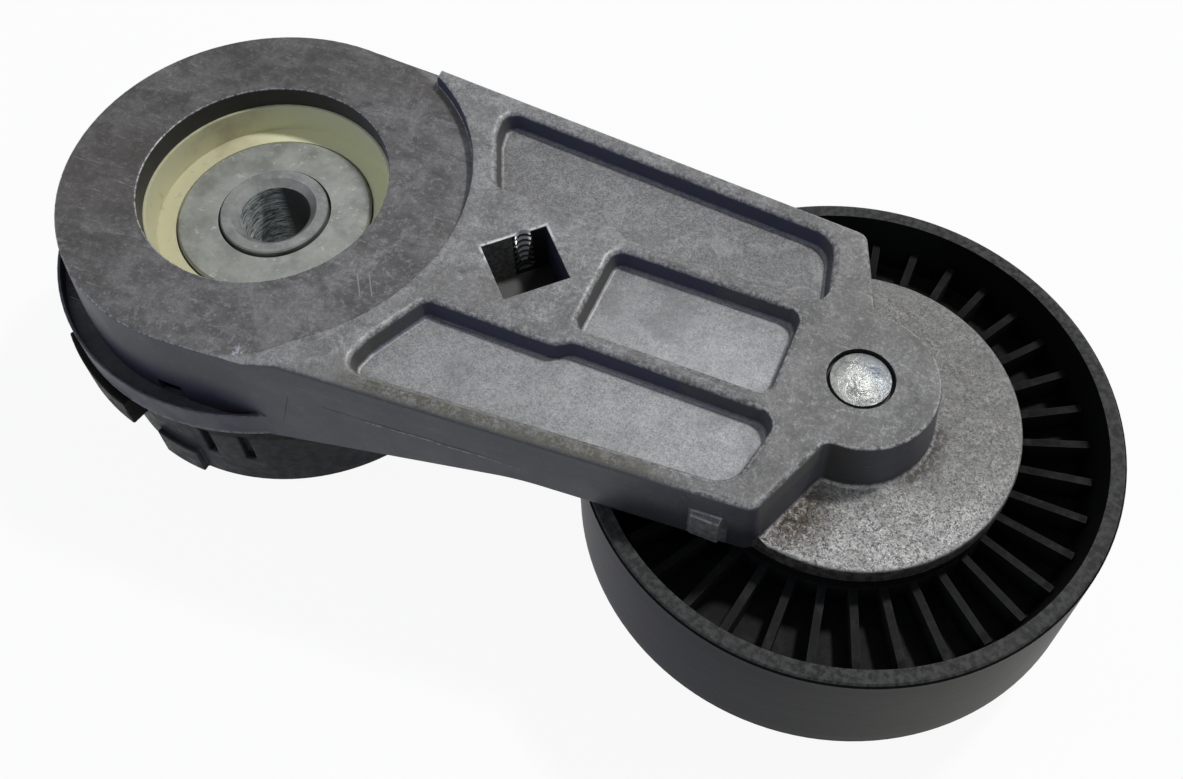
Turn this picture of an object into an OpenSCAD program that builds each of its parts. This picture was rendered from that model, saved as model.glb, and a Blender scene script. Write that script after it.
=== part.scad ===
// Spring-loaded belt tensioner with a flat idler pulley.
// Origin: on the pivot axis, at the back mounting face. +Z points to the front, +X to the pulley.
// Every size is in millimetres.

/* [Layout] */
// Distance from the pivot axis to the pulley axis
arm_length = 91.4; // [86:0.2:100]
// Height of the head's front face above the mounting face
head_z = 36; // [35:0.5:40]
// Height of the raised arm plate above the head's front face
plate_raise = 2.4; // [1:0.1:4]

/* [Mounting] */
// Radius of the hole for the mounting bolt
bolt_hole_r = 5.25; // [4.25:0.05:5.5]
// Outer radius of the pivot tube
tube_r = 8; // [7.8:0.1:9]
// How far the pivot tube stands proud of the front plate
tube_proud = 0.7; // [0.2:0.1:1.5]
// Radius of the locating pin
pin_r = 3; // [2:0.25:4]
// Length of the locating pin below the mounting face
pin_proud = 4; // [2:0.5:8]
// Distance from the pivot axis to the locating pin
pin_offset = 21; // [19:0.5:23]
// Depth of the ring-shaped relief in the mounting face
relief_depth = 0.8; // [0.4:0.1:1.2]

/* [Spring housing] */
// Outer radius of the cup
cup_r = 30.4; // [30:0.1:31]
// Height of the cup's shoulder
cup_h = 18.6; // [18:0.1:18.8]
// Thickness of the cup's wall
cup_wall = 2.6; // [1.8:0.1:3]
// Thickness of the cup's floor
cup_floor = 3; // [2:0.1:4]
// Thickness of the thin lip that runs up inside the arm's skirt
lip_t = 1.2; // [0.8:0.1:1.6]
// Height of that lip above the shoulder
lip_h = 3.6; // [2:0.1:4]
// Radius of the outside pads
pad_r = 31.4; // [31:0.1:32.5]
// Outer radius of the stop lugs
lug_r = 34; // [33:0.1:36]
// Height of the stop lugs
lug_h = 6; // [4:0.1:7]
// Height of the pads
pad_h = 6; // [4:0.5:11]

/* [Front plate] */
// Radius of the front plate
plate_r = 14.4; // [12.5:0.1:14.5]
// Thickness of the front plate
plate_t = 1.65; // [1.2:0.05:2]
// Depth of the front plate's face below the head's front face
plate_depth = 7.7; // [7:0.1:8.5]
// Thickness of the friction disc under the front plate
disc_t = 0.6; // [0.4:0.05:1]

/* [Arm head] */
// Radius of the head at its front face
head_r = 29.5; // [29:0.1:30]
// Outward lean of the casting's side walls, per millimetre of depth
wall_draft = 0.06; // [0.02:0.01:0.07]
// Radius of the arc where the raised plate starts
step_r = 30.6; // [30:0.1:33]
// Outer radius of the skirt that covers the cup's lip
skirt_r = 33; // [32.6:0.1:33.6]
// Height of the skirt
skirt_h = 5.1; // [4.8:0.1:6]
// Thickness of the head's roof over the spring
roof_t = 3.4; // [2:0.1:3.6]
// Thickness of the wall around the head's bore
bore_wall = 2.6; // [2:0.1:2.8]
// Depth of the groove in the skirt's ledge
groove_depth = 2.4; // [1:0.1:2.4]
// Thickness of the wall outside that groove
groove_wall = 0.5; // [0.4:0.1:1]

/* [Arm plate] */
// Half width of the arm at its outer corners
corner_y = 23.5; // [22.5:0.1:25]
// Distance from the pulley axis back to the outer corners
corner_back = 6.5; // [5:0.1:8]
// Radius of the rounded tip
tip_r = 10.7; // [9:0.1:12]
// Height of the arm's underside over the pulley
under_z = 28.2; // [27.9:0.1:29]
// Depth of the three front pockets
pocket_depth = 3.2; // [1:0.1:4]
// Inward lean of the pockets' walls, per millimetre of depth
pocket_draft = 0.17; // [0.05:0.01:0.2]
// Half width of the middle pocket
middle_pocket_y = 7.2; // [5:0.1:7.4]
// Side of the square drive hole
square_side = 9.65; // [9.55:0.05:9.8]
// Distance from the pivot axis to the square drive hole
square_x = 42.4; // [41:0.1:43]
// Depth of the square drive hole
square_depth = 9.2; // [6:0.1:9.4]
// Radius of the round shield over the bearing
shield_r = 23.5; // [22:0.1:24.5]
// Height of the shield's front face
shield_z = 29.4; // [29:0.1:30]
// Thickness of the shield
shield_t = 3; // [2:0.1:3.2]

/* [Pulley] */
// Radius of the belt face
pulley_r = 38; // [37.5:0.1:38.5]
// Width of the belt face
pulley_w = 22; // [21.5:0.1:22.4]
// Height of the pulley's middle plane
pulley_mid_z = 16.75; // [16:0.05:16.8]
// Width of the flat annular edge of the rim
rim_edge = 2.3; // [1.5:0.1:3]
// Thickness of the rim at the web
rim_root = 4; // [3:0.1:5]
// Thickness of the web
web_t = 3.2; // [2:0.1:5]
// Number of ribs on each side of the web
rib_count = 36; // [12:1:40]
// Thickness of a rib
rib_t = 1.1; // [0.8:0.1:2]
// Depth of the rib tops below the rim's edge
rib_drop = 4.6; // [3:0.1:6]
// Outer radius of the pulley's hub
hub_r = 23.2; // [22:0.1:26]

/* [Bearing] */
// Radius of the bearing's bore
bearing_bore_r = 8.5; // [8:0.05:9]
// Outer radius of the bearing
bearing_r = 20; // [19.5:0.1:20.5]
// Width of the bearing
bearing_w = 12; // [11:0.1:12.4]
// Radius of the circle on which the balls run
ball_track_r = 14.3; // [14:0.05:14.6]
// Radius of a ball
ball_r = 3.35; // [3:0.05:3.5]
// Number of balls
ball_count = 8; // [6:1:9]
// Radius of the rivet's neck through the arm
rivet_r = 4; // [3:0.1:4.1]

/* [Spring] */
// Radius of the spring's wire
wire_r = 2.3; // [1.5:0.1:2.4]
// Number of turns
coil_turns = 4.2; // [3:0.1:4.4]

/* [Travel] */
// Travel of the arm from its free stop, in degrees
arm_travel = 33; // [15:1:38]
// Width of the arm's stop tab, in degrees
tab_deg = 25.4; // [12:0.2:26]
// How far the stop tab hangs below the skirt
tab_drop = 3.4; // [2:0.1:3.8]
// Width of the cup's front stop lug, in degrees
lug_a_deg = 28; // [10:1:28]

/* [Clearances] */
// Radial running clearance of the arm on the pivot tube
pivot_gap = 0.05; // [0.02:0.01:0.08]
// Radial gap between the balls and their races
race_gap = 0.06; // [0.02:0.01:0.08]
// Gap between pieces that pass without touching
free_gap = 0.3; // [0.2:0.05:0.4]
// Gap between the spring and the cup's wall
coil_out_gap = 1.5; // [1.2:0.1:1.7]
// Gap between the spring and the wall around the head's bore
coil_in_gap = 0.9; // [0.8:0.1:1.5]
// Axial gap between sliding faces
face_gap = 0.05; // [0.02:0.01:0.1]
// Height of the gap between the cup's shoulder and the skirt
skirt_gap = 0.5; // [0.4:0.1:0.8]

/* [Hidden] */
$fn = 96;
eps = 0.01;

// Heights that follow from the driving sizes
plate_top_z = head_z + plate_raise;
front_plate_top = head_z - plate_depth;
front_plate_low = front_plate_top - plate_t;
disc_low = front_plate_low - face_gap - disc_t;
tube_top = front_plate_top + tube_proud;
bush_flange_t = 1;
hub_floor_z = disc_low - bush_flange_t;
hub_floor_t = 3;
hub_floor_low = hub_floor_z - hub_floor_t;
boss_h = 5.2;
boss_r = tube_r + 4.6;
pin_shank_r = pin_r - 0.5;
washer_z = cup_floor + boss_h;
washer_t = 1;
sleeve_low_z = washer_z + washer_t + face_gap + 0.8;
roof_z = head_z - roof_t;
lip_top_z = cup_h + lip_h;

// Radii around the pivot
bush_in_r = tube_r + pivot_gap;
bush_t = 1.6;
bush_sleeve_l = 8;
sleeve_in_r = bush_in_r + bush_t;
sleeve_wall = 3.4;
sleeve_r = sleeve_in_r + sleeve_wall;
damper_t = 1.6;
cup_in_r = cup_r - cup_wall;
coil_r = cup_in_r - coil_out_gap - wire_r;
chamber_r = coil_r + wire_r + 0.7;
inner_wall_r = coil_r - wire_r - coil_in_gap;
bore_r = inner_wall_r - bore_wall;
lip_out_r = cup_in_r + lip_t;
skirt_in_r = lip_out_r + free_gap + 0.1;
skirt_low_z = cup_h + skirt_gap;
skirt_top_z = skirt_low_z + skirt_h;
head_root_r = head_r + wall_draft * (head_z - skirt_top_z);
groove_out_r = skirt_r - groove_wall;

// Stops: the arm's tab travels between two lugs on the cup
lug_a_to = -103;
lug_a_from = lug_a_to - lug_a_deg;
stop_gap_deg = 0.3;
lug_b_to = lug_a_from - arm_travel - tab_deg - 2 * stop_gap_deg;
lug_b_deg = 20;
tab_from = lug_b_to + stop_gap_deg;
tab_side_gap = 0.5;
tab_inset = 0.2;

// Pulley and bearing heights
pulley_top = pulley_mid_z + pulley_w / 2;
pulley_low = pulley_mid_z - pulley_w / 2;
bearing_top = pulley_mid_z + bearing_w / 2;
bearing_low = pulley_mid_z - bearing_w / 2;
hub_lip = 0.5;
spacer_t = 1;
spacer_top = bearing_top + spacer_t;
inner_ring_r = 12.2;
outer_ring_in_r = 16.6;
pin_flange_t = 1.8;
pin_flange_r = 11.8;
shield_low_z = shield_z - shield_t;
cap_t = 1;

function polar(r, a) = [r * cos(a), r * sin(a)];
function unit(v) = v / norm(v);

// Line through two neighbours of an outline, moved inwards by d (outline runs anticlockwise)
function edge_normal(a, b) = let(u = unit(b - a)) [-u[1], u[0]];
function meet(p, n1, c1, n2, c2) = let(d = n1[0] * n2[1] - n1[1] * n2[0])
    [(c1 * n2[1] - c2 * n1[1]) / d, (n1[0] * c2 - n2[0] * c1) / d];

// Outline with each corner [x, y, radius] rounded, and the whole drawn in by an inset
function corner_xy(p) = [p[0], p[1]];
function turn(a, b, c) = (b[0] - a[0]) * (c[1] - b[1]) - (b[1] - a[1]) * (c[0] - b[0]);
function rounded(points, inset = 0, steps = 6) = [
    for (i = [0 : len(points) - 1])
        let(a = corner_xy(points[(i + len(points) - 1) % len(points)]),
            b = corner_xy(points[i]),
            c = corner_xy(points[(i + 1) % len(points)]),
            n1 = edge_normal(a, b),
            n2 = edge_normal(b, c),
            side = turn(a, b, c) > 0 ? 1 : -1,
            r = max(0.2, points[i][2] - side * inset),
            centre = meet(b, n1, n1 * b + inset + side * r, n2, n2 * b + inset + side * r),
            a1 = atan2(-side * n1[1], -side * n1[0]),
            a2 = atan2(-side * n2[1], -side * n2[0]),
            sweep = side > 0 ? (a2 - a1 + 720) % 360 : -((a1 - a2 + 720) % 360))
        for (k = [0 : steps]) centre + polar(r, a1 + sweep * k / steps)];

// Prism with leaning walls: true to its outline at one level, drawn in by lean per millimetre below it
module drafted_prism(points, low, high, lean, level, steps = 6) {
    floor_outline = rounded(points, lean * (level - low), steps);
    mouth_outline = rounded(points, lean * (level - high), steps);
    n = len(mouth_outline);
    polyhedron(
        points = concat(
            [for (p = floor_outline) [p[0], p[1], low]],
            [for (p = mouth_outline) [p[0], p[1], high]]),
        faces = concat(
            [[for (i = [0 : n - 1]) i]],
            [[for (i = [n - 1 : -1 : 0]) n + i]],
            [for (i = [0 : n - 1]) [i, n + i, n + (i + 1) % n, (i + 1) % n]]));
}

// Flat ring between two heights
module ring(outer, inner, low, high) {
    translate([0, 0, low]) rotate_extrude() translate([inner, 0]) square([outer - inner, high - low]);
}

// Part of a ring between two angles
module ring_sector(outer, inner, low, high, from, to) {
    rotate([0, 0, from]) translate([0, 0, low])
        rotate_extrude(angle = to - from) translate([inner, 0]) square([outer - inner, high - low]);
}

module at_pulley() {
    translate([arm_length, 0, 0]) children();
}

// ---- Base: everything that bolts to the engine ----

pad_from = -104.5;
pad_deg = 14;
slot_angles = [-85.5, -74, 34.5, 46, 154.5, 166];
slot_low = 6.5;
slot_high = 13;
slot_w = 1.5;
slot_deep = 1.2;

module spring_housing() {
    color([0.06, 0.06, 0.065])
    difference() {
        union() {
            ring(cup_r, tube_r, 0, cup_floor);
            ring(cup_r, cup_in_r, 0, cup_h);
            ring(lip_out_r, cup_in_r, cup_h - 1, lip_top_z);
            ring(boss_r, tube_r, cup_floor - 1, washer_z);
            for (a = [pad_from, pad_from + 120, pad_from + 240])
                ring_sector(pad_r, cup_r - 1, 0, pad_h, a, a + pad_deg);
            for (lug = [[lug_a_from, lug_a_to], [lug_b_to - lug_b_deg, lug_b_to]])
                ring_sector(lug_r, cup_r - 1, cup_h - lug_h, cup_h - 0.3, lug[0], lug[1]);
        }
        for (a = slot_angles) rotate([0, 0, a])
            translate([cup_r - slot_deep, -slot_w / 2, slot_low]) cube([10, slot_w, slot_high - slot_low]);
        rotate([0, 0, 180]) translate([pin_offset, 0, -1]) cylinder(r = pin_shank_r, h = cup_floor + 2);
        ring(cup_in_r - 0.8, boss_r + 2, -1, relief_depth);
    }
}

module pivot_tube() {
    chamfer = 1.1;
    color([0.62, 0.62, 0.6]) rotate_extrude() polygon([
        [bolt_hole_r, 0],
        [tube_r, 0],
        [tube_r, tube_top - 0.2],
        [tube_r - 0.2, tube_top],
        [bolt_hole_r + chamfer, tube_top],
        [bolt_hole_r, tube_top - chamfer]]);
}

module front_plate() {
    edge = 0.35;
    groove_w = 0.4;
    groove_d = 0.7;
    color([0.58, 0.6, 0.58]) rotate_extrude() polygon([
        [tube_r, front_plate_low],
        [plate_r, front_plate_low],
        [plate_r, front_plate_top - edge],
        [plate_r - edge, front_plate_top],
        [tube_r + groove_w, front_plate_top],
        [tube_r + groove_w, front_plate_top - groove_d],
        [tube_r, front_plate_top - groove_d]]);
}

module friction_disc() {
    color([0.3, 0.3, 0.3]) ring(plate_r - 0.4, tube_r, disc_low + face_gap, front_plate_low);
}

module locating_pin() {
    tip = 0.6;
    color([0.7, 0.7, 0.72]) rotate([0, 0, 180]) translate([pin_offset, 0, 0]) {
        translate([0, 0, relief_depth]) cylinder(r = pin_shank_r, h = cup_floor - relief_depth);
        translate([0, 0, -pin_proud + tip]) cylinder(r = pin_r, h = relief_depth + pin_proud - tip);
        translate([0, 0, -pin_proud]) cylinder(r1 = pin_r - tip, r2 = pin_r, h = tip);
    }
}

seat_t = 1.6;
module spring_seat() {
    seat_in_r = sleeve_r + damper_t + 2.5;
    color([0.82, 0.78, 0.6]) ring(cup_in_r - free_gap, seat_in_r, cup_floor, cup_floor + seat_t);
}

module thrust_washer() {
    color([0.65, 0.65, 0.66]) ring(boss_r - 0.2, tube_r + pivot_gap, washer_z, washer_z + washer_t);
}

module rim_seal() {
    color([0.03, 0.03, 0.03]) ring(cup_r - 0.3, lip_out_r, cup_h, skirt_low_z - 0.2 * skirt_gap);
}

// Torsion spring: a round wire swept along a helix
spring_low = cup_floor + seat_t + wire_r + 0.1;
spring_high = roof_z - wire_r - 0.4;
wire_sides = 12;
steps_per_turn = 28;
coil_start = 20;
coil_steps = round(coil_turns * steps_per_turn);
coil_rise = (spring_high - spring_low) / coil_steps;

function coil_centre(i) =
    concat(polar(coil_r, coil_start + i * 360 / steps_per_turn), spring_low + i * coil_rise);
function coil_out(i) = concat(polar(1, coil_start + i * 360 / steps_per_turn), 0);
function wire_ring(centre, out) = [for (k = [0 : wire_sides - 1])
    centre + wire_r * (cos(k * 360 / wire_sides) * out + sin(k * 360 / wire_sides) * [0, 0, 1])];

module torsion_spring() {
    rings = [for (i = [0 : coil_steps]) wire_ring(coil_centre(i), coil_out(i))];
    count = len(rings);
    color([0.35, 0.37, 0.4]) polyhedron(
        points = [for (r = rings) for (p = r) p],
        faces = concat(
            [[for (k = [0 : wire_sides - 1]) k]],
            [[for (k = [wire_sides - 1 : -1 : 0]) (count - 1) * wire_sides + k]],
            [for (i = [0 : count - 2]) for (k = [0 : wire_sides - 1])
                [i * wire_sides + k,
                 (i + 1) * wire_sides + k,
                 (i + 1) * wire_sides + (k + 1) % wire_sides,
                 i * wire_sides + (k + 1) % wire_sides]]));
}

// ---- Arm: the casting that turns on the pivot tube ----

corner_x = arm_length - corner_back;
tangent_r = head_r - wall_draft * plate_raise;
tangent_deg = atan2(corner_y, corner_x) + acos(tangent_r / norm([corner_x, corner_y]));
tangent = polar(tangent_r, tangent_deg);
shoulder_x = arm_length - 1.3;
tip_flat = 0.15;
step_end_x = 14.6;

// Outline of the arm's front face, from the tangent points on the head round the tip
arm_outline = [
    [tangent[0], -tangent[1], 1],
    [corner_x, -corner_y, 1.8],
    [shoulder_x, -tip_r, 1.6],
    [arm_length + tip_r, -tip_r, tip_r - tip_flat],
    [arm_length + tip_r, tip_r, tip_r - tip_flat],
    [shoulder_x, tip_r, 1.6],
    [corner_x, corner_y, 1.8],
    [tangent[0], tangent[1], 1]];

// Side view of the arm: its underside drops from the pulley end to the skirt
module arm_side_profile() {
    flat_from_x = 53;
    drop_slope = 0.23;
    blend_r = 30;
    root_z = skirt_low_z + 0.4;
    root_x = flat_from_x - (under_z - root_z) / drop_slope;
    far_x = arm_length + tip_r + 5;
    points = [
        [-2, plate_top_z, 0.2],
        [-2, root_z, 0.2],
        [root_x, root_z, 0.5],
        [flat_from_x, under_z, blend_r],
        [far_x, under_z, 0.2],
        [far_x, plate_top_z, 0.2]];
    polygon(rounded(points, 0, 8));
}

// Plate of the arm, with its walls leaning out towards the engine and the step in front of the head
module arm_plate() {
    span = 2 * skirt_r;
    difference() {
        intersection() {
            drafted_prism(arm_outline, skirt_low_z, plate_top_z + 8, -wall_draft, plate_top_z, 12);
            rotate([90, 0, 0]) translate([0, 0, -span / 2]) linear_extrude(span) arm_side_profile();
        }
        translate([0, 0, head_z]) linear_extrude(plate_raise + 1) step_opening(span);
        step_run_out();
    }
}

// Slope over which the step runs out at one edge of the head
module step_run_out() {
    left = 0.5;
    run = 5.5;
    rotate([90, 0, 0]) translate([0, 0, step_r - 12]) linear_extrude(2 * step_r) polygon([
        [step_end_x - 2, head_z + left],
        [step_end_x, head_z + left],
        [step_end_x + run, plate_top_z],
        [step_end_x + run, plate_top_z + 10],
        [step_end_x - 2, plate_top_z + 10]]);
}

// Outline of the space in front of the head, up to the curved step
module step_opening(span) {
    end_deg = acos(step_end_x / step_r);
    steps = 110;
    polygon(concat(
        [[-3, -span / 2], [step_end_x, -span / 2]],
        [for (i = [0 : steps]) polar(step_r, -end_deg + 2 * end_deg * i / steps)],
        [[step_end_x, span / 2], [-3, span / 2]]));
}

// Head with its skirt, and the groove between them
module arm_head() {
    notch_from = -93.5;
    notch_to = -86.5;
    solid_deg = 45;
    difference() {
        union() {
            translate([0, 0, skirt_low_z + 1])
                cylinder(r1 = head_r + wall_draft * (head_z - skirt_low_z - 1), r2 = head_r,
                    h = head_z - skirt_low_z - 1, $fn = 180);
            translate([0, 0, skirt_low_z]) cylinder(r = skirt_r, h = skirt_h, $fn = 180);
        }
        ring_sector(groove_out_r, head_root_r - 0.15, skirt_top_z - groove_depth, skirt_top_z + 5,
            solid_deg, 360 - solid_deg);
        ring_sector(groove_out_r - 0.1, lip_out_r - 0.5, skirt_top_z - groove_depth + 0.2, skirt_top_z + 0.3,
            notch_from, notch_to);
    }
}

pocket_floor_z = plate_top_z - pocket_depth;
pocket_near_x = 32.6;
middle_near_x = 52.8;
side_pocket = [
    [pocket_near_x, 10.8, 1.6], [middle_near_x - 1.2, 10.8, 2], [middle_near_x + 1.2, 9.3, 2],
    [arm_length - 7.7, 9.3, 2.6], [arm_length - 10.4, corner_y - 2.3, 4.2],
    [pocket_near_x - 5.4, corner_y + 1.4, 2.2], [pocket_near_x - 4.2, 19.5, 5]];
middle_far_x = arm_length - rivet_r - 6.4;
middle_pocket = [
    [middle_near_x, -middle_pocket_y, 2], [middle_far_x, -middle_pocket_y, 2.2],
    [middle_far_x, middle_pocket_y, 2.2], [middle_near_x, middle_pocket_y, 2]];

// Vertical channel with ring grooves in one wall of the square hole
channel_r = 1.3;
channel_pitch = 1.25;
channel_teeth = 6;
module grooved_channel(floor_z) {
    translate([0, 0, floor_z + 0.9]) cylinder(r = channel_r, h = plate_top_z - floor_z, $fn = 32);
    for (i = [0 : channel_teeth - 1])
        translate([0, 0, floor_z + 1.5 + i * channel_pitch])
            cylinder(r = channel_r + 0.3, h = 0.55, $fn = 32);
}

module square_drive_cut() {
    floor_z = plate_top_z - square_depth;
    translate([square_x, 0, floor_z]) rotate([0, 0, 45])
        translate([-square_side / 2, -square_side / 2, 0]) cube([square_side, square_side, square_depth + 1]);
    translate([square_x, 0, 0]) rotate([0, 0, 45])
        translate([1.3, square_side / 2 - 0.7, 0]) grooved_channel(floor_z);
}

// Cored chambers in the underside, clear of the boss around the square hole
module underside_cores() {
    rib = 1.6;
    reach_y = 17;
    core_from = skirt_r + 2;
    core_to = arm_length - shield_r - 4;
    core_mid = (core_from + core_to) / 2;
    roof = pocket_floor_z - 3.6;
    socket_boss = 9;
    difference() {
        for (side = [-1, 1]) for (span = [[core_from, core_mid - rib / 2], [core_mid + rib / 2, core_to]])
            translate([span[0], side > 0 ? rib : -reach_y, 0]) cube([span[1] - span[0], reach_y - rib, roof]);
        translate([square_x, 0, -1]) cylinder(r = socket_boss, h = head_z + 1);
        translate([arm_length, 0, -1]) cylinder(r = shield_r + 2, h = head_z + 1);
    }
}

gate_w = 4.1;
gate_h = 5.2;
gate_x = corner_x - 5.8;
module casting_gate_tab() {
    translate([gate_x - gate_w / 2, -(corner_y + 1.75), under_z + 0.7]) cube([gate_w, 4, gate_h]);
}

module tension_arm() {
    rivet_recess_r = rivet_r + 0.6;
    rivet_recess = 1.5;
    pin_boss_r = 10.5;
    shoulder_top = lip_top_z + free_gap + 0.3;
    color([0.36, 0.37, 0.38])
    difference() {
        union() {
            arm_head();
            arm_plate();
            translate([arm_length, 0, shield_low_z]) cylinder(r = shield_r, h = shield_t, $fn = 160);
            translate([arm_length, 0, spacer_top]) cylinder(r = pin_boss_r, h = head_z - spacer_top);
            translate([0, 0, sleeve_low_z]) cylinder(r = sleeve_r, h = hub_floor_z - sleeve_low_z);
            ring_sector(skirt_r - tab_inset, cup_r + tab_side_gap, skirt_low_z - tab_drop, skirt_low_z + 1,
                tab_from, tab_from + tab_deg);
            casting_gate_tab();
        }
        ring(chamber_r, inner_wall_r, skirt_low_z - 10, roof_z);
        ring(inner_wall_r + eps, sleeve_r, 0, hub_floor_low);
        ring(skirt_in_r, chamber_r - eps, skirt_low_z - 10, shoulder_top);
        translate([0, 0, hub_floor_z]) cylinder(r = bore_r, h = head_z);
        cylinder(r = sleeve_in_r, h = head_z);
        for (side = [0, 1]) mirror([0, side, 0])
            drafted_prism(side_pocket, pocket_floor_z, plate_top_z + 1, pocket_draft, plate_top_z);
        drafted_prism(middle_pocket, pocket_floor_z, plate_top_z + 1, pocket_draft, plate_top_z);
        square_drive_cut();
        underside_cores();
        at_pulley() cylinder(r = rivet_r, h = plate_top_z + 1);
        at_pulley() translate([0, 0, plate_top_z - rivet_recess])
            cylinder(r = rivet_recess_r, h = rivet_recess + 1);
    }
}

module friction_bush() {
    wall_t = 0.8;
    top_z = head_z - 3.5;
    floor_z = front_plate_top - 0.5;
    well_r = plate_r + free_gap;
    sleeve_end = hub_floor_z - bush_sleeve_l;
    color([0.83, 0.79, 0.6]) rotate_extrude() polygon([
        [bush_in_r, sleeve_end],
        [sleeve_in_r, sleeve_end],
        [sleeve_in_r, hub_floor_z],
        [bore_r, hub_floor_z],
        [bore_r, top_z],
        [bore_r - 0.4, top_z],
        [bore_r - wall_t, floor_z],
        [well_r, floor_z],
        [well_r, disc_low],
        [bush_in_r, disc_low]]);
}

module pivot_bush() {
    flange_r = sleeve_r - 0.4;
    top_z = hub_floor_z - bush_sleeve_l - free_gap;
    low_z = washer_z + washer_t + face_gap;
    color([0.83, 0.79, 0.6]) rotate_extrude() polygon([
        [bush_in_r, low_z],
        [flange_r, low_z],
        [flange_r, sleeve_low_z],
        [sleeve_in_r, sleeve_low_z],
        [sleeve_in_r, top_z],
        [bush_in_r, top_z]]);
}

module damping_sleeve() {
    color([0.2, 0.2, 0.21]) ring(sleeve_r + damper_t, sleeve_r, sleeve_low_z + 0.4, hub_floor_low);
}

// ---- Idler: pulley, bearing and the rivet that holds them ----

module bearing_pin() {
    dome_h = 0.8;
    dome_r = rivet_r + 0.1;
    dome_edge_z = plate_top_z - 0.3;
    sphere_r = (dome_r * dome_r + dome_h * dome_h) / (2 * dome_h);
    recess_z = plate_top_z - 1.5;
    color([0.8, 0.8, 0.78]) at_pulley() difference() {
        union() {
            translate([0, 0, bearing_low - pin_flange_t]) cylinder(r = pin_flange_r, h = pin_flange_t);
            translate([0, 0, bearing_low]) cylinder(r = bearing_bore_r, h = bearing_w);
            translate([0, 0, bearing_top]) cylinder(r = rivet_r, h = recess_z - bearing_top);
            translate([0, 0, recess_z]) cylinder(r = dome_r, h = dome_edge_z - recess_z);
            intersection() {
                translate([0, 0, dome_edge_z + dome_h - sphere_r]) sphere(r = sphere_r);
                translate([0, 0, dome_edge_z - eps]) cylinder(r = dome_r, h = dome_h + 1);
            }
        }
        translate([0, 0, bearing_low - pin_flange_t - 1]) cylinder(r = 5, h = 2);
    }
}

module spacer_washer() {
    color([0.68, 0.68, 0.7]) at_pulley() ring(inner_ring_r - 0.4, rivet_r, bearing_top, spacer_top);
}

module race_cut() {
    translate([0, 0, pulley_mid_z])
        rotate_extrude() translate([ball_track_r, 0]) circle(r = ball_r + race_gap);
}

module bearing_inner_ring() {
    color([0.72, 0.72, 0.74]) at_pulley() difference() {
        ring(inner_ring_r, bearing_bore_r, bearing_low, bearing_top);
        race_cut();
    }
}

module bearing_outer_ring() {
    color([0.72, 0.72, 0.74]) at_pulley() difference() {
        ring(bearing_r, outer_ring_in_r, bearing_low, bearing_top);
        race_cut();
    }
}

module bearing_balls() {
    color([0.85, 0.85, 0.87]) at_pulley() for (i = [0 : ball_count - 1])
        rotate([0, 0, i * 360 / ball_count]) translate([ball_track_r, 0, pulley_mid_z]) sphere(r = ball_r);
}

module ball_cage() {
    pocket_gap = 0.1;
    cage_half = 1.15;
    color([0.55, 0.45, 0.25]) at_pulley() difference() {
        ring(ball_track_r + cage_half, ball_track_r - cage_half,
            pulley_mid_z - ball_r - 0.8, pulley_mid_z + 1);
        for (i = [0 : ball_count - 1]) rotate([0, 0, i * 360 / ball_count])
            translate([ball_track_r, 0, pulley_mid_z]) sphere(r = ball_r + pocket_gap);
    }
}

seal_t = 0.8;
module seal_disc(low) {
    ring(outer_ring_in_r, inner_ring_r + 0.1, low, low + seal_t);
}

module front_seal() {
    color([0.05, 0.05, 0.05]) at_pulley() seal_disc(bearing_top - 0.1 - seal_t);
}

module rear_seal() {
    color([0.05, 0.05, 0.05]) at_pulley() seal_disc(bearing_low + 0.1);
}

// Ribs on one side of the web, from the hub to the rim
module web_ribs(low, high) {
    translate([0, 0, low]) linear_extrude(high - low) intersection() {
        union() for (i = [0 : rib_count - 1]) rotate(i * 360 / rib_count)
            translate([hub_r - 1, -rib_t / 2]) square([pulley_r - hub_r, rib_t]);
        circle(r = pulley_r - rim_root + 0.4);
    }
}

module idler_pulley() {
    chamfer = 0.5;
    hub_top = bearing_top + hub_lip;
    hub_low = bearing_low - hub_lip;
    root_r = pulley_r - rim_root;
    edge_r = pulley_r - rim_edge;
    half_web = web_t / 2;
    rib_top = pulley_top - rib_drop;
    rib_low = pulley_low + rib_drop;
    color([0.07, 0.07, 0.08]) at_pulley() union() {
        rotate_extrude($fn = 240) polygon([
            [root_r - 0.6, pulley_mid_z - half_web],
            [root_r, pulley_mid_z - half_web - 0.6],
            [edge_r, pulley_low],
            [pulley_r - chamfer, pulley_low],
            [pulley_r, pulley_low + chamfer],
            [pulley_r, pulley_top - chamfer],
            [pulley_r - chamfer, pulley_top],
            [edge_r, pulley_top],
            [root_r, pulley_mid_z + half_web + 0.6],
            [root_r - 0.6, pulley_mid_z + half_web]]);
        ring(root_r, bearing_r, pulley_mid_z - half_web, pulley_mid_z + half_web);
        ring(hub_r, bearing_r, hub_low, hub_top);
        ring(hub_r, bearing_r - 1, bearing_top, hub_top);
        ring(hub_r, bearing_r - 1, hub_low, bearing_low);
        web_ribs(pulley_mid_z, rib_top);
        web_ribs(rib_low, pulley_mid_z);
    }
}

module rear_dust_cap() {
    hub_low = bearing_low - hub_lip;
    cap_low = bearing_low - pin_flange_t - free_gap - cap_t;
    color([0.05, 0.05, 0.05]) at_pulley() {
        ring(hub_r - 0.4, 0, cap_low, cap_low + cap_t);
        ring(hub_r - 0.4, hub_r - 2.2, cap_low + cap_t, hub_low);
    }
}

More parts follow.
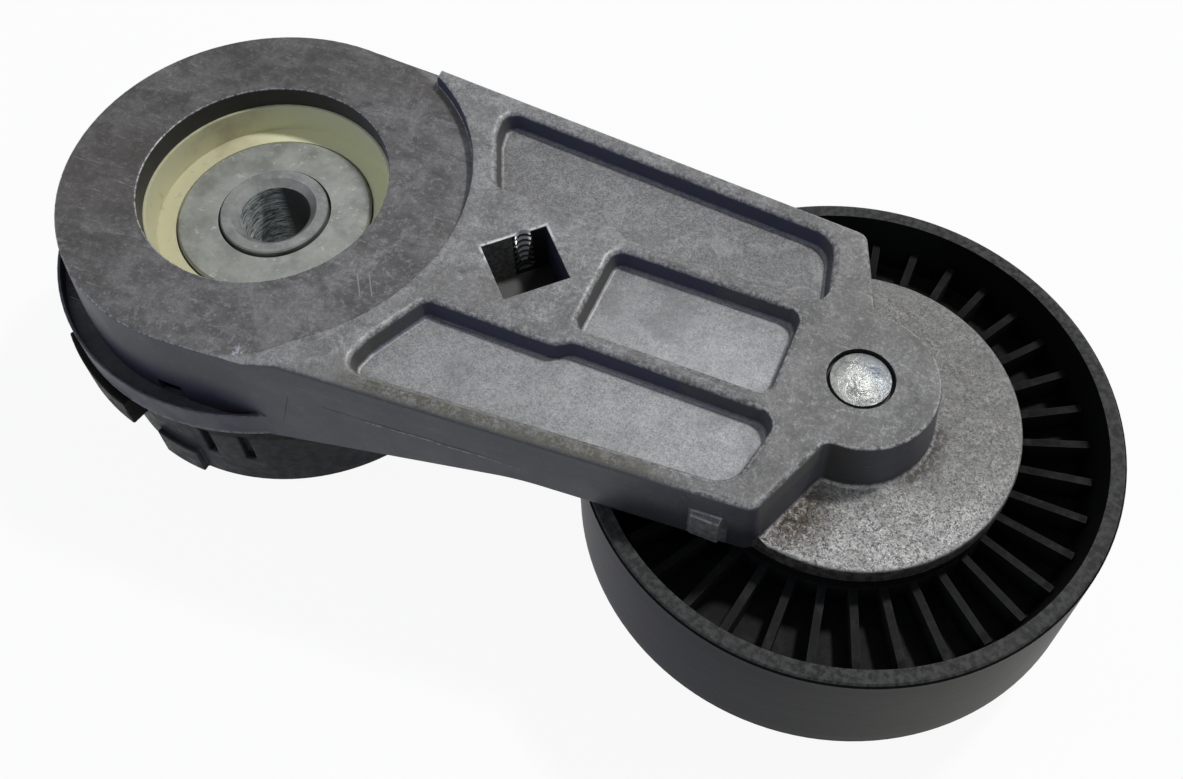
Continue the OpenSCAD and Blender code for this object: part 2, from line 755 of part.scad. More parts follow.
spring_housing();
pivot_tube();
front_plate();
friction_disc();
locating_pin();
spring_seat();
thrust_washer();
rim_seal();
torsion_spring();
tension_arm();
friction_bush();
pivot_bush();
damping_sleeve();
bearing_pin();
spacer_washer();
bearing_inner_ring();
bearing_outer_ring();
bearing_balls();
ball_cage();
front_seal();
rear_seal();
idler_pulley();
rear_dust_cap();
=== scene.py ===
"""Dresses the packed belt tensioner: cast arm, black cup, steel pivot, ribbed idler pulley."""

import math

import bmesh
import bpy
from mathutils import Matrix, Vector


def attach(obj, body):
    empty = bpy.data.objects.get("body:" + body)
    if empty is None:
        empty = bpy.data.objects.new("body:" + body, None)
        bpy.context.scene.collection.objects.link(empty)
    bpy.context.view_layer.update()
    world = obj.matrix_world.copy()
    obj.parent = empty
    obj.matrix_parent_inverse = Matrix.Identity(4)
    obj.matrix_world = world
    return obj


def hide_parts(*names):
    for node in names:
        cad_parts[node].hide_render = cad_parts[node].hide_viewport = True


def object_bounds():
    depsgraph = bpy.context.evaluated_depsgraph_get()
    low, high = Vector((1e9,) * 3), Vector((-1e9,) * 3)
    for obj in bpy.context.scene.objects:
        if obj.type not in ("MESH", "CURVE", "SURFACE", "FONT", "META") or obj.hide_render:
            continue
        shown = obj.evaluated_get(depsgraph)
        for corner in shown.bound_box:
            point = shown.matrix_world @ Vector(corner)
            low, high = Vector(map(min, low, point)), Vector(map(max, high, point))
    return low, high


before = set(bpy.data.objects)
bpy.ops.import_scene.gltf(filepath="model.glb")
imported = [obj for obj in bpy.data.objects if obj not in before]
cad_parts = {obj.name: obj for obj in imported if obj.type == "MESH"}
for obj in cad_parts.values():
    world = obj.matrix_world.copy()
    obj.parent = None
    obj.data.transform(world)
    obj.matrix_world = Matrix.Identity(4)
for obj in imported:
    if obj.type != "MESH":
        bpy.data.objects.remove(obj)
CAD_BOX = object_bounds()

bl_info = {
    "name": "Belt Tensioner",
    "version": (1, 0, 0),
    "blender": (4, 5, 0),
    "location": "View3D > Sidebar > Tensioner",
    "description": "Builds and finishes the visible pieces of a spring-loaded belt tensioner",
    "category": "Object",
}

# Upright axes in plan, in metres: the pivot, the pulley and the square drive hole.
PIVOT = (0.0, 0.0)
IDLER = (0.0914, 0.0)
SQUARE = (0.0424, 0.0)

# Heights of the casting's faces, in metres.
PLATE_TOP = 0.0384
HEAD_TOP = 0.0360
POCKET_FLOOR = 0.0352
SHIELD_TOP = 0.0294
LEDGE_TOP = 0.0242
SKIRT_FOOT = 0.0191

# Radii of the plate's step and the skirt about the pivot, and of the nose about the idler, in metres.
STEP_RADIUS = 0.0306
SKIRT_RADIUS = 0.0330
NOSE_RADIUS = 0.0107

HAIR = 0.0001  # how close two heights or outlines lie that count as one, in metres


# ---------------------------------------------------------------- settings


def shade(name, description, default):
    """A colour setting."""
    return bpy.props.FloatVectorProperty(
        name=name, description=description, default=default, subtype="COLOR", size=3, min=0.0, max=1.0
    )


def length(name, description, default):
    """A length setting."""
    return bpy.props.FloatProperty(
        name=name, description=description, default=default, unit="LENGTH", min=0.0, precision=5
    )


def power(name, description, default):
    """A lamp's power."""
    return bpy.props.FloatProperty(name=name, description=description, default=default, unit="POWER", min=0.0)


class TENSIONER_PG_casting(bpy.types.PropertyGroup):
    """The cast arm."""

    edge_softness: length("Edge softness", "How far the casting's broad edges are rounded", 0.0009)
    top: shade("Front grey", "Colour of the arm's front faces", (0.192, 0.194, 0.197))
    floor: shade("Pocket floor", "Colour of the pocket floors", (0.15, 0.153, 0.159))
    wall: shade("Wall", "Colour of the side walls", (0.056, 0.057, 0.067))
    # painted navy shade for the pocket walls that face away from the light
    pocket_wall_shade: shade("Pocket wall", "Colour of the walls inside the pockets", (0.046, 0.05, 0.092))
    worn: shade("Worn metal", "Colour where the oxide has rubbed off", (0.42, 0.42, 0.43))
    # brown dirt, also used as painted shade in the corners
    dirt: shade("Dirt", "Brown-black road dirt", (0.045, 0.04, 0.038))
    rust: shade("Rust stain", "Stain on the shield", (0.088, 0.062, 0.037))


class TENSIONER_PG_cup(bpy.types.PropertyGroup):
    """The black cup."""

    coat: shade("Coating", "Colour of the black coating", (0.027, 0.0275, 0.030))
    dust: shade("Dust", "Grey dust on the coating", (0.05, 0.051, 0.055))
    edge_softness: length("Edge softness", "How far the cup's edges are rounded", 0.0003)


class TENSIONER_PG_idler(bpy.types.PropertyGroup):
    """The pulley and what holds it."""

    plastic: shade("Plastic", "Colour of the pulley", (0.0165, 0.017, 0.0172))
    polish: shade("Belt polish", "Colour where the belt has polished the face", (0.042, 0.042, 0.036))
    rivet: shade("Rivet", "Colour of the riveted head", (0.44, 0.46, 0.44))


class TENSIONER_PG_pivot(bpy.types.PropertyGroup):
    """The steel and nylon pieces in the head."""

    nylon: shade("Nylon", "Colour of the bush", (0.57, 0.55, 0.365))
    nylon_dirt: shade("Nylon dirt", "Dirt on the bush", (0.3, 0.26, 0.17))
    zinc: shade("Zinc", "Colour of the front plate", (0.327, 0.341, 0.317))
    steel: shade("Steel", "Colour of the pivot tube", (0.27, 0.28, 0.275))


class TENSIONER_PG_stage(bpy.types.PropertyGroup):
    """Lights, floor and camera."""

    key_power: power("Key light", "Power of the main light", 4.5)
    fill_power: power("Fill light", "Power of the blue fill light", 0.3)
    world_level: bpy.props.FloatProperty(
        name="Room light", description="Level of the room's even light", default=0.22, min=0.0
    )
    lens: bpy.props.FloatProperty(
        name="Lens", description="Focal length of the camera", default=41.78, min=1.0, unit="CAMERA"
    )


GROUPS = {
    "tensioner_casting": TENSIONER_PG_casting,
    "tensioner_cup": TENSIONER_PG_cup,
    "tensioner_idler": TENSIONER_PG_idler,
    "tensioner_pivot": TENSIONER_PG_pivot,
    "tensioner_stage": TENSIONER_PG_stage,
}


# ---------------------------------------------------------------- finishes


def tint(colour, factor, most=1.0):
    """A colour made lighter or darker."""
    return tuple(min(most, part * factor) for part in colour)


def grey(level):
    """A neutral colour."""
    return (level, level, level)


class Finish:
    """A node material, built up from sockets. Numbers and sockets are both taken as inputs."""

    def __init__(self, name):
        self.material = bpy.data.materials.new(name)
        self.material.use_nodes = True
        self.tree = self.material.node_tree
        self.tree.nodes.clear()
        out = self.tree.nodes.new("ShaderNodeOutputMaterial")
        self.shader = self.tree.nodes.new("ShaderNodeBsdfPrincipled")
        self.tree.links.new(self.shader.outputs["BSDF"], out.inputs["Surface"])
        self.place = self.tree.nodes.new("ShaderNodeTexCoord").outputs["Object"]
        self.geometry = self.tree.nodes.new("ShaderNodeNewGeometry")
        self.x, self.y, self.z = self.parts(self.place)
        self.side_x, self.side_y, self.up = self.parts(self.geometry.outputs["Normal"])

    def put(self, socket, value):
        """Links a socket, or sets a number or colour."""
        if isinstance(value, bpy.types.NodeSocket):
            self.tree.links.new(value, socket)
        elif hasattr(value, "__len__") and len(value) == 3 and socket.type == "RGBA":
            socket.default_value = (*value, 1.0)
        else:
            socket.default_value = value

    def node(self, kind, inputs=(), output=0, **settings):
        """Adds a node with its settings and inputs, and gives one output."""
        made = self.tree.nodes.new(kind)
        for key, value in settings.items():
            setattr(made, key, value)
        for key, value in dict(inputs).items():
            self.put(made.inputs[key], value)
        return made.outputs[output]

    def parts(self, vector):
        """X, Y and Z of a vector."""
        made = self.tree.nodes.new("ShaderNodeSeparateXYZ")
        self.put(made.inputs[0], vector)
        return made.outputs

    # arithmetic

    def math(self, operation, first, second=0.0):
        """One step of arithmetic."""
        return self.node("ShaderNodeMath", {0: first, 1: second, 2: 0.0}, operation=operation)

    def plus(self, first, second):
        """A sum."""
        return self.math("ADD", first, second)

    def minus(self, first, second):
        """A difference."""
        return self.math("SUBTRACT", first, second)

    def times(self, *values):
        """A product, such as the overlap of several masks."""
        result = values[0]
        for value in values[1:]:
            result = self.math("MULTIPLY", result, value)
        return result

    def larger(self, first, second):
        """The larger of two masks."""
        return self.math("MAXIMUM", first, second)

    def size(self, value):
        """A number without its sign."""
        return self.math("ABSOLUTE", value)

    def inverse(self, value):
        """One minus a mask."""
        return self.minus(1.0, value)

    def band(self, value, low, high, to_low=0.0, to_high=1.0):
        """Maps a value smoothly from low..high to to_low..to_high."""
        return self.node(
            "ShaderNodeMapRange",
            {"Value": value, "From Min": low, "From Max": high, "To Min": to_low, "To Max": to_high},
            interpolation_type="SMOOTHSTEP",
        )

    def below(self, value, low, high):
        """1 below low, 0 above high."""
        return self.inverse(self.band(value, low, high))

    def near(self, value, inside, outside):
        """1 where a value is closer to nought than inside, 0 beyond outside."""
        return self.band(self.size(value), inside, outside, 1.0, 0.0)

    # places

    def moved(self, offset, scale=(1.0, 1.0, 1.0), turn=(0.0, 0.0, 0.0)):
        """The piece's own coordinates, shifted, turned and scaled."""
        made = self.tree.nodes.new("ShaderNodeMapping")
        self.put(made.inputs["Vector"], self.place)
        made.inputs["Location"].default_value = offset
        made.inputs["Rotation"].default_value = turn
        made.inputs["Scale"].default_value = scale
        return made.outputs[0]

    def stretched(self, scale, turn=0.0):
        """The piece's own coordinates, turned in plan and scaled."""
        return self.moved((0.0, 0.0, 0.0), scale, (0.0, 0.0, turn))

    def moved_to(self, middle, turn):
        """The piece's coordinates measured from a point of the plan, with X along a direction."""
        moved = self.node("ShaderNodeVectorMath", {0: self.place, 1: (*middle, 0.0)}, operation="SUBTRACT")
        made = self.tree.nodes.new("ShaderNodeMapping")
        self.put(made.inputs["Vector"], moved)
        made.inputs["Rotation"].default_value = (0.0, 0.0, -turn)
        return made.outputs[0]

    def radius_about(self, centre):
        """Distance from an upright axis."""
        dx = self.minus(self.x, centre[0])
        dy = self.minus(self.y, centre[1])
        return self.math("SQRT", self.plus(self.times(dx, dx), self.times(dy, dy)))

    def distance(self, point):
        """Distance from a point."""
        return self.node("ShaderNodeVectorMath", {0: self.place, 1: point}, "Value", operation="DISTANCE")

    # patterns

    def noise(self, scale, detail, roughness, where=None, distortion=0.0):
        """Soft noise from 0 to 1."""
        inputs = {
            "Vector": self.place if where is None else where,
            "Scale": scale,
            "Detail": detail,
            "Roughness": roughness,
            "Distortion": distortion,
        }
        return self.node("ShaderNodeTexNoise", inputs, "Fac")

    def cells(self, scale):
        """Distance to the nearest of many scattered points, such as flecks or pits."""
        return self.node("ShaderNodeTexVoronoi", {"Vector": self.place, "Scale": scale}, "Distance")

    def soft_edge(self, radius):
        """How far a rounded normal leaves the true one: high along sharp edges."""
        rounded = self.node("ShaderNodeBevel", {"Radius": radius}, samples=6)
        sides = {0: rounded, 1: self.geometry.outputs["True Normal"]}
        return self.inverse(self.node("ShaderNodeVectorMath", sides, "Value", operation="DOT_PRODUCT"))

    # colours and surface

    def mix(self, amount, first, second):
        """Blends two colours."""
        made = self.tree.nodes.new("ShaderNodeMix")
        made.data_type = "RGBA"
        self.put(made.inputs[0], amount)
        self.put(made.inputs[6], first)
        self.put(made.inputs[7], second)
        return made.outputs[2]

    def blend(self, amount, first, second):
        """Blends two numbers."""
        made = self.tree.nodes.new("ShaderNodeMix")
        self.put(made.inputs[0], amount)
        self.put(made.inputs[2], first)
        self.put(made.inputs[3], second)
        return made.outputs[0]

    def toned(self, colour, pattern, *steps):
        """Lays tones over a colour by a pattern. A step is low, high, the amounts at both, and the tone."""
        for low, high, at_low, at_high, tone in steps:
            colour = self.mix(self.band(pattern, low, high, at_low, at_high), colour, tone)
        return colour

    def bump(self, height, strength, distance, normal=None):
        """Raises the surface by a height pattern."""
        made = self.tree.nodes.new("ShaderNodeBump")
        self.put(made.inputs["Height"], height)
        made.inputs["Strength"].default_value = strength
        made.inputs["Distance"].default_value = distance
        if normal is not None:
            self.put(made.inputs["Normal"], normal)
        return made.outputs[0]

    def finish(self, **sockets):
        """Sets the shader's sockets, such as Base_Color, Metallic and Roughness."""
        for key, value in sockets.items():
            self.put(self.shader.inputs[key.replace("_", " ")], value)
        return self.material


# Where the casting's masks fade, in metres: heights, and distances from the pivot and from the idler.
UNDER_PLATE = (0.0376, 0.0380)
UNDER_HEAD = (0.0354, 0.0366)
UNDER_POCKETS = (0.0340, 0.0345)
OVER_SHIELD = (0.0300, 0.0308)
SHIELD_SKIN = (0.0296, 0.0298)
UNDER_SHIELD = (0.0262, 0.0266)
OVER_LEDGE = (0.0256, 0.0262)
HEAD_RIM = (0.0300, 0.0310)
HEAD_SIDE = (0.0284, 0.0288)
SKIRT_SIDE = (0.0322, 0.0325)
SHIELD_RIM = (0.0238, 0.0245)

# The channel in the square hole's corner, in metres.
CHANNEL = (0.04040, 0.00384)
CHANNEL_EDGE = (0.00168, 0.00172)
LAND_EDGE = (0.00134, 0.0014)

# painted shade in the square hole's channel
CHANNEL_SHADE = (0.008, 0.008, 0.009)
# painted highlight on the channel's lands
LAND_HIGHLIGHT = (0.95, 0.96, 0.96)


class Casting(Finish):
    """The arm's aged aluminium, with the patterns and masks that its faces share."""

    def __init__(self, settings):
        super().__init__("aged_casting")
        self.settings = settings
        self.lay_patterns()
        self.find_faces()
        self.find_square_hole()
        self.find_worn_edges()

    def lay_patterns(self):
        """Noise of several grains, and the scuffs and smudges made from it."""
        self.patch = self.noise(170.0, 6.0, 0.68)
        self.fine = self.noise(1100.0, 5.0, 0.72)
        self.grain = self.noise(3300.0, 4.0, 0.75)
        self.tooth = self.noise(1500.0, 5.0, 0.8)
        self.grit = self.noise(2300.0, 6.0, 0.85, distortion=1.1)
        self.specks = self.band(self.fine, 0.42, 0.56)
        self.scuff = self.band(self.noise(240.0, 8.0, 0.78, distortion=1.0), 0.52, 0.60)
        self.bruise = self.band(self.noise(430.0, 7.0, 0.8, self.moved((0.3, 0.1, 0.0))), 0.46, 0.38)
        self.mottle = self.band(self.noise(330.0, 8.0, 0.86, self.moved((0.1, 0.4, 0.2)), 0.4), 0.38, 0.62)
        self.smudge = self.band(self.noise(190.0, 5.0, 0.58, self.moved((0.2, 0.2, 0.1)), 0.8), 0.36, 0.64)

    def find_faces(self):
        """Masks of the head, the pocket floors, the shield and the skirt's ledge."""
        self.facing_up = self.band(self.up, 0.35, 0.85)
        self.from_pivot = self.radius_about(PIVOT)
        self.from_idler = self.radius_about(IDLER)
        self.on_head = self.below(self.from_pivot, *HEAD_RIM)
        self.low = self.below(self.z, *UNDER_HEAD)
        self.in_pocket = self.times(
            self.low,
            self.inverse(self.on_head),
            self.band(self.z, *UNDER_POCKETS),
            self.band(self.from_idler, NOSE_RADIUS, NOSE_RADIUS + HAIR),
        )
        self.on_shield = self.times(
            self.below(self.z, *OVER_SHIELD),
            self.below(self.from_idler, *SHIELD_RIM),
            self.band(self.z, *UNDER_SHIELD),
        )
        self.on_ledge = self.times(
            self.below(self.z, *OVER_LEDGE),
            self.band(self.from_pivot, *HEAD_SIDE),
            self.below(self.x, 0.0225, 0.0235),
        )

    def find_square_hole(self):
        """Masks of the square hole and of the channel in its corner.

        The hole stands on its corner in plan, so all its sides lie at one sum of distances from its middle.
        """
        self.from_square = self.minus(self.x, SQUARE[0])
        self.square_out = self.plus(self.size(self.from_square), self.size(self.y))
        self.in_hole = self.times(
            self.below(self.square_out, 0.0071, 0.0072), self.below(self.z, *UNDER_PLATE)
        )
        self.in_square = self.times(
            self.below(self.square_out, 0.0069, 0.007), self.below(self.z, *UNDER_POCKETS)
        )

        # The channel holds a ladder of lands that narrows downwards.
        from_channel = self.radius_about(CHANNEL)
        self.in_channel = self.below(from_channel, *CHANNEL_EDGE)
        self.along_square = self.plus(self.from_square, self.y)
        spread = self.size(self.times(self.minus(self.along_square, 0.00184), 0.7071))
        reach = self.plus(self.times(self.minus(self.z, 0.0305), 0.14), 0.00035)
        self.land = self.times(
            self.below(from_channel, *LAND_EDGE),
            self.band(self.minus(spread, reach), -0.00005, 0.00005, 1.0, 0.0),
            self.band(self.z, 0.0312, 0.0316),
        )

    def find_worn_edges(self):
        """Masks of the rounded edges, which lean between level and upright, and of their rubbed spots."""
        self.rim = self.times(self.band(self.up, 0.3, 0.6), self.below(self.up, 0.9, 0.985))
        rubbed = self.band(self.noise(1500.0, 5.0, 0.8), 0.44, 0.56)
        self.wear = self.times(self.rim, rubbed, self.band(self.z, 0.0288, 0.0292))


def plate_grey(f):
    """The front of plate and nose: mottled grey, darker towards the nose, chipped at the square hole."""
    top = f.settings.top
    colour = f.mix(f.band(f.x, 0.040, 0.096), tint(top, 1.42), tint(top, 0.72))
    colour = f.mix(f.smudge, f.mix(0.3, colour, (0.02, 0.02, 0.022)), f.mix(0.05, colour, (0.8, 0.81, 0.83)))
    colour = f.mix(f.times(f.inverse(f.mottle), 0.16), colour, grey(0.03))
    colour = f.toned(
        colour,
        f.tooth,
        (0.43, 0.53, 0.26, 0.0, (0.055, 0.055, 0.056)),
        (0.55, 0.63, 0.0, 0.24, (0.5, 0.505, 0.515)),
    )
    browned = f.band(f.noise(52.0, 5.0, 0.62), 0.48, 0.66)
    colour = f.mix(f.times(browned, 0.35), colour, (0.15, 0.142, 0.135))
    scuffed = f.times(f.scuff, f.band(f.tooth, 0.4, 0.55), f.band(f.x, 0.062, 0.082, 0.55, 0.22))
    colour = f.mix(scuffed, colour, (0.38, 0.385, 0.395))
    bruised = f.times(f.bruise, f.band(f.x, 0.062, 0.082, 0.5, 0.28))
    colour = f.mix(bruised, colour, (0.08, 0.078, 0.078))
    colour = f.toned(
        colour,
        f.grain,
        (0.42, 0.56, 0.3, 0.0, (0.065, 0.065, 0.067)),
        (0.56, 0.68, 0.0, 0.28, (0.45, 0.455, 0.46)),
    )

    # a ragged brown strip along the near edge
    ragged = f.plus(f.y, f.band(f.patch, 0.3, 0.7, -0.0016, 0.0016))
    strip = f.times(f.below(ragged, -0.0240, -0.0222), f.band(f.x, 0.020, 0.034), f.below(f.x, 0.066, 0.080))
    strip = f.times(strip, f.band(f.tooth, 0.42, 0.54, 0.15, 0.85))
    colour = f.mix(strip, colour, (0.062, 0.058, 0.04))

    chipped = f.times(
        f.below(f.square_out, 0.0071, 0.0076),
        f.band(f.minus(f.y, f.from_square), 0.002, 0.004),
        f.band(f.noise(700.0, 4.0, 0.7), 0.36, 0.5),
        f.band(f.z, 0.0379, 0.0381),
    )
    return f.mix(f.times(chipped, 0.85), colour, (0.6, 0.61, 0.62))


def head_grey(f):
    """The head's front: darker and browner than the plate, with brushed streaks, painted lighter on the side
    towards the light.
    """
    # painted light: lighter towards the lit side, which also gets more scuffs and bright specks
    lit_side = f.band(f.minus(f.x, f.times(f.y, 0.5)), -0.018, 0.018)
    colour = f.mix(lit_side, (0.092, 0.088, 0.087), (0.148, 0.147, 0.153))
    darker = f.mix(0.34, colour, (0.015, 0.012, 0.012))
    lighter = f.mix(0.06, colour, (0.8, 0.8, 0.84))
    colour = f.mix(f.smudge, darker, lighter)
    colour = f.mix(f.times(f.inverse(f.mottle), 0.15), colour, (0.02, 0.018, 0.018))
    brushed = f.noise(6.0, 6.0, 0.75, f.stretched((28.0, 150.0, 30.0), 0.5), 0.5)
    colour = f.toned(
        colour,
        brushed,
        (0.55, 0.66, 0.0, 0.5, (0.24, 0.24, 0.255)),
        (0.45, 0.36, 0.0, 0.4, (0.05, 0.046, 0.045)),
    )
    colour = f.toned(
        colour,
        f.tooth,
        (0.43, 0.53, 0.2, 0.0, (0.035, 0.034, 0.034)),
        (0.57, 0.64, 0.0, 0.22, (0.34, 0.34, 0.35)),
    )
    browned = f.band(f.noise(38.0, 6.0, 0.7), 0.46, 0.62)
    colour = f.mix(f.times(browned, 0.55), colour, (0.066, 0.057, 0.053))
    scuffed = f.times(
        f.scuff,
        f.band(f.noise(30.0, 3.0, 0.6), 0.4, 0.6),
        f.band(f.tooth, 0.4, 0.55),
        f.blend(lit_side, 0.2, 0.6),
    )
    colour = f.mix(scuffed, colour, (0.29, 0.29, 0.3))
    colour = f.mix(f.times(f.bruise, 0.3), colour, (0.04, 0.037, 0.037))
    bright = f.times(f.band(f.fine, 0.54, 0.64), f.blend(lit_side, 0.2, 0.5))
    colour = f.mix(bright, colour, (0.27, 0.27, 0.275))
    return f.toned(colour, f.grain, (0.42, 0.58, 0.2, 0.0, (0.035, 0.034, 0.034)))


def pocket_grey(f):
    """The pocket floors: fine even grain, lighter in the near pockets."""
    floor = f.settings.floor
    nearer = f.band(f.y, -0.004, 0.010, 1.0, 0.0)
    colour = f.mix(nearer, floor, tint(floor, 1.8))
    colour = f.mix(f.times(f.band(f.x, 0.045, 0.075), nearer, 0.3), colour, (0.42, 0.43, 0.46))
    sand = f.band(f.noise(4300.0, 3.0, 0.7), 0.3, 0.7)
    colour = f.mix(sand, f.mix(0.34, colour, grey(0.0)), f.mix(0.2, colour, grey(0.8)))
    colour = f.mix(f.times(f.inverse(f.smudge), 0.2), colour, (0.07, 0.071, 0.074))
    colour = f.toned(
        colour,
        f.noise(1500.0, 4.0, 0.75, f.moved((0.0, 0.3, 0.0))),
        (0.40, 0.5, 0.16, 0.0, (0.05, 0.051, 0.053)),
        (0.52, 0.62, 0.0, 0.18, (0.42, 0.425, 0.44)),
    )
    far_corner = f.times(f.band(f.x, 0.060, 0.072), f.band(f.y, 0.0080, 0.0095), 0.22)
    colour = f.mix(far_corner, colour, (0.05, 0.051, 0.053))
    middle_pocket = f.times(f.band(f.size(f.y), 0.0080, 0.0072), f.band(f.x, 0.050, 0.052), 0.1)
    colour = f.mix(middle_pocket, colour, (0.5, 0.51, 0.53))
    smooth = f.mix(f.band(f.patch, 0.36, 0.64), tint(floor, 0.74), tint(floor, 1.16))
    colour = f.mix(f.times(f.band(f.noise(75.0, 4.0, 0.6), 0.48, 0.62), 0.5), colour, smooth)
    colour = f.mix(f.times(f.band(f.fine, 0.62, 0.72), 0.35), colour, grey(0.42))
    return f.mix(f.times(f.scuff, 0.25), colour, (0.4, 0.4, 0.41))


def shield_grey(f):
    """The shield: bright pitting on its open side with painted glints among it, dull grey elsewhere, a rust
    stain in its corner.
    """
    slope = f.plus(f.y, f.times(f.x, -0.42))
    lower = f.band(slope, -0.048, -0.058)
    pitted = f.mix(f.band(f.grit, 0.41, 0.57), (0.03, 0.028, 0.027), (0.6, 0.6, 0.595))
    dull = f.mix(f.band(f.grit, 0.38, 0.62), (0.085, 0.084, 0.082), (0.37, 0.37, 0.365))
    colour = f.mix(f.blend(lower, 0.12, 0.85), dull, pitted)
    # painted glints: near-white specks on the open side
    painted_glint = f.times(f.band(f.noise(3400.0, 4.0, 0.8), 0.54, 0.62), lower, 0.8)
    colour = f.mix(painted_glint, colour, (0.95, 0.96, 0.96))
    colour = f.toned(colour, f.noise(420.0, 5.0, 0.7), (0.40, 0.62, 0.4, 0.0, (0.12, 0.119, 0.117)))
    colour = f.toned(colour, slope, (-0.052, -0.030, 0.0, 0.35, (0.115, 0.114, 0.112)))

    # rust in the corner at the plate's foot
    corner = f.below(f.distance((0.0880, -0.0172, SHIELD_TOP)), 0.0022, 0.0080)
    stain = f.times(corner, f.band(f.noise(1300.0, 5.0, 0.8), 0.38, 0.53))
    stain_colour = f.mix(f.band(f.grit, 0.42, 0.56), (0.014, 0.011, 0.009), f.settings.rust)
    colour = f.mix(f.times(stain, 0.93), colour, stain_colour)

    # grime beside the nose
    beside_nose = f.times(
        f.below(f.from_idler, 0.0120, 0.0144),
        f.band(f.x, 0.0960, 0.0985),
        f.band(f.y, 0.004, 0.001),
        f.band(f.y, -0.0095, -0.0060),
        f.band(f.noise(1300.0, 4.0, 0.8), 0.41, 0.53),
    )
    return f.mix(f.times(beside_nose, 0.82), colour, (0.042, 0.035, 0.029))


def pocket_walls(f, colour):
    """Painted navy shade on the walls that face the near side or the head, painted olive light on the others,
    and painted shade on the nose.
    """
    toward = f.times(f.band(f.side_y, -0.25, -0.45), f.band(f.y, -0.017, -0.016))
    leftward = f.times(f.band(f.side_x, -0.3, -0.55), f.band(f.x, 0.0295, 0.031))
    nose = f.times(
        f.below(f.from_idler, 0.0238, 0.0244),
        f.band(f.z, *SHIELD_SKIN),
        f.band(f.from_idler, 0.0055, 0.006),
    )
    over_floor = f.band(f.z, 0.0349, 0.0351)
    # painted navy shade on the walls that face away from the light
    navy = f.times(f.larger(toward, leftward), over_floor, f.inverse(nose))
    colour = f.mix(f.times(navy, 0.85), colour, f.settings.pocket_wall_shade)
    # painted olive light on the walls that face the light
    olive = f.times(f.band(f.plus(f.side_x, f.times(f.side_y, 0.8)), 0.3, 0.6), over_floor)
    colour = f.mix(f.times(olive, 0.7), colour, (0.09, 0.091, 0.082))
    # painted shade on the nose's wall
    nose_shade = f.times(
        nose, f.band(f.side_y, -0.2, -0.8), f.band(f.x, 0.083, 0.088), f.band(f.side_x, 0.6, 0.1), 0.8
    )
    return f.mix(nose_shade, colour, (0.028, 0.028, 0.027))


def skirt_side_shade(f, colour):
    """Painted dark navy shade on the side of the skirt under the head."""
    skirt = f.times(
        f.below(f.z, 0.0246, 0.0262), f.band(f.from_pivot, 0.029, 0.0296), f.below(f.x, 0.012, 0.020)
    )
    return f.mix(f.times(skirt, 0.8), colour, (0.03, 0.031, 0.042))


def parting_lines(f, colour):
    """The parting line along the near side with a bright lip, and a slanting seam beside the head."""
    line_height, lip_height = 0.0314, 0.0310
    outside = f.times(f.band(f.y, -0.0215, -0.0225), f.band(f.x, 0.023, 0.027), f.below(f.x, 0.046, 0.056))
    height = f.plus(f.z, f.band(f.noise(120.0, 2.0, 0.5), 0.3, 0.7, -0.0002, 0.0002))
    line = f.times(f.near(f.minus(height, line_height), 0.0001, 0.00024), outside)
    colour = f.mix(f.times(line, 0.95), colour, (0.012, 0.012, 0.013))
    lip = f.times(f.near(f.minus(height, lip_height), 0.00008, 0.0002), outside)
    lip = f.times(lip, f.band(f.x, 0.029, 0.034), f.specks)
    colour = f.mix(f.times(lip, 0.7), colour, grey(0.32))
    across_seam = f.minus(f.minus(f.x, f.times(f.z, 0.277)), 0.01132)
    seam = f.times(
        f.near(across_seam, 0.00006, 0.00016),
        f.band(f.y, -0.015, -0.02),
        f.below(f.z, 0.0308, 0.0314),
        f.band(f.z, 0.0243, 0.0247),
    )
    return f.mix(f.times(seam, 0.9), colour, (0.014, 0.014, 0.018))


def square_walls(f, colour):
    """The square hole: painted light on one wall, painted shade near black on the others, a channel painted
    black as shade, and lands painted bright as highlights.
    """
    # painted light on the wall that faces the light, painted shade on the others
    lit = f.mix(f.band(f.tooth, 0.4, 0.6), (0.08, 0.08, 0.074), (0.22, 0.22, 0.205))
    wall = f.mix(f.band(f.along_square, 0.0022, 0.0030), lit, (0.004, 0.004, 0.005))
    wall = f.mix(f.band(f.side_x, 0.1, -0.3), wall, (0.012, 0.013, 0.032))
    wall = f.mix(f.in_channel, wall, CHANNEL_SHADE)
    wall = f.mix(f.land, wall, LAND_HIGHLIGHT)
    colour = f.mix(f.below(f.square_out, 0.0069, 0.00695), colour, wall)
    channel = f.times(f.in_channel, f.below(f.square_out, 0.0084, 0.0086))
    return f.mix(channel, colour, f.mix(f.land, CHANNEL_SHADE, LAND_HIGHLIGHT))


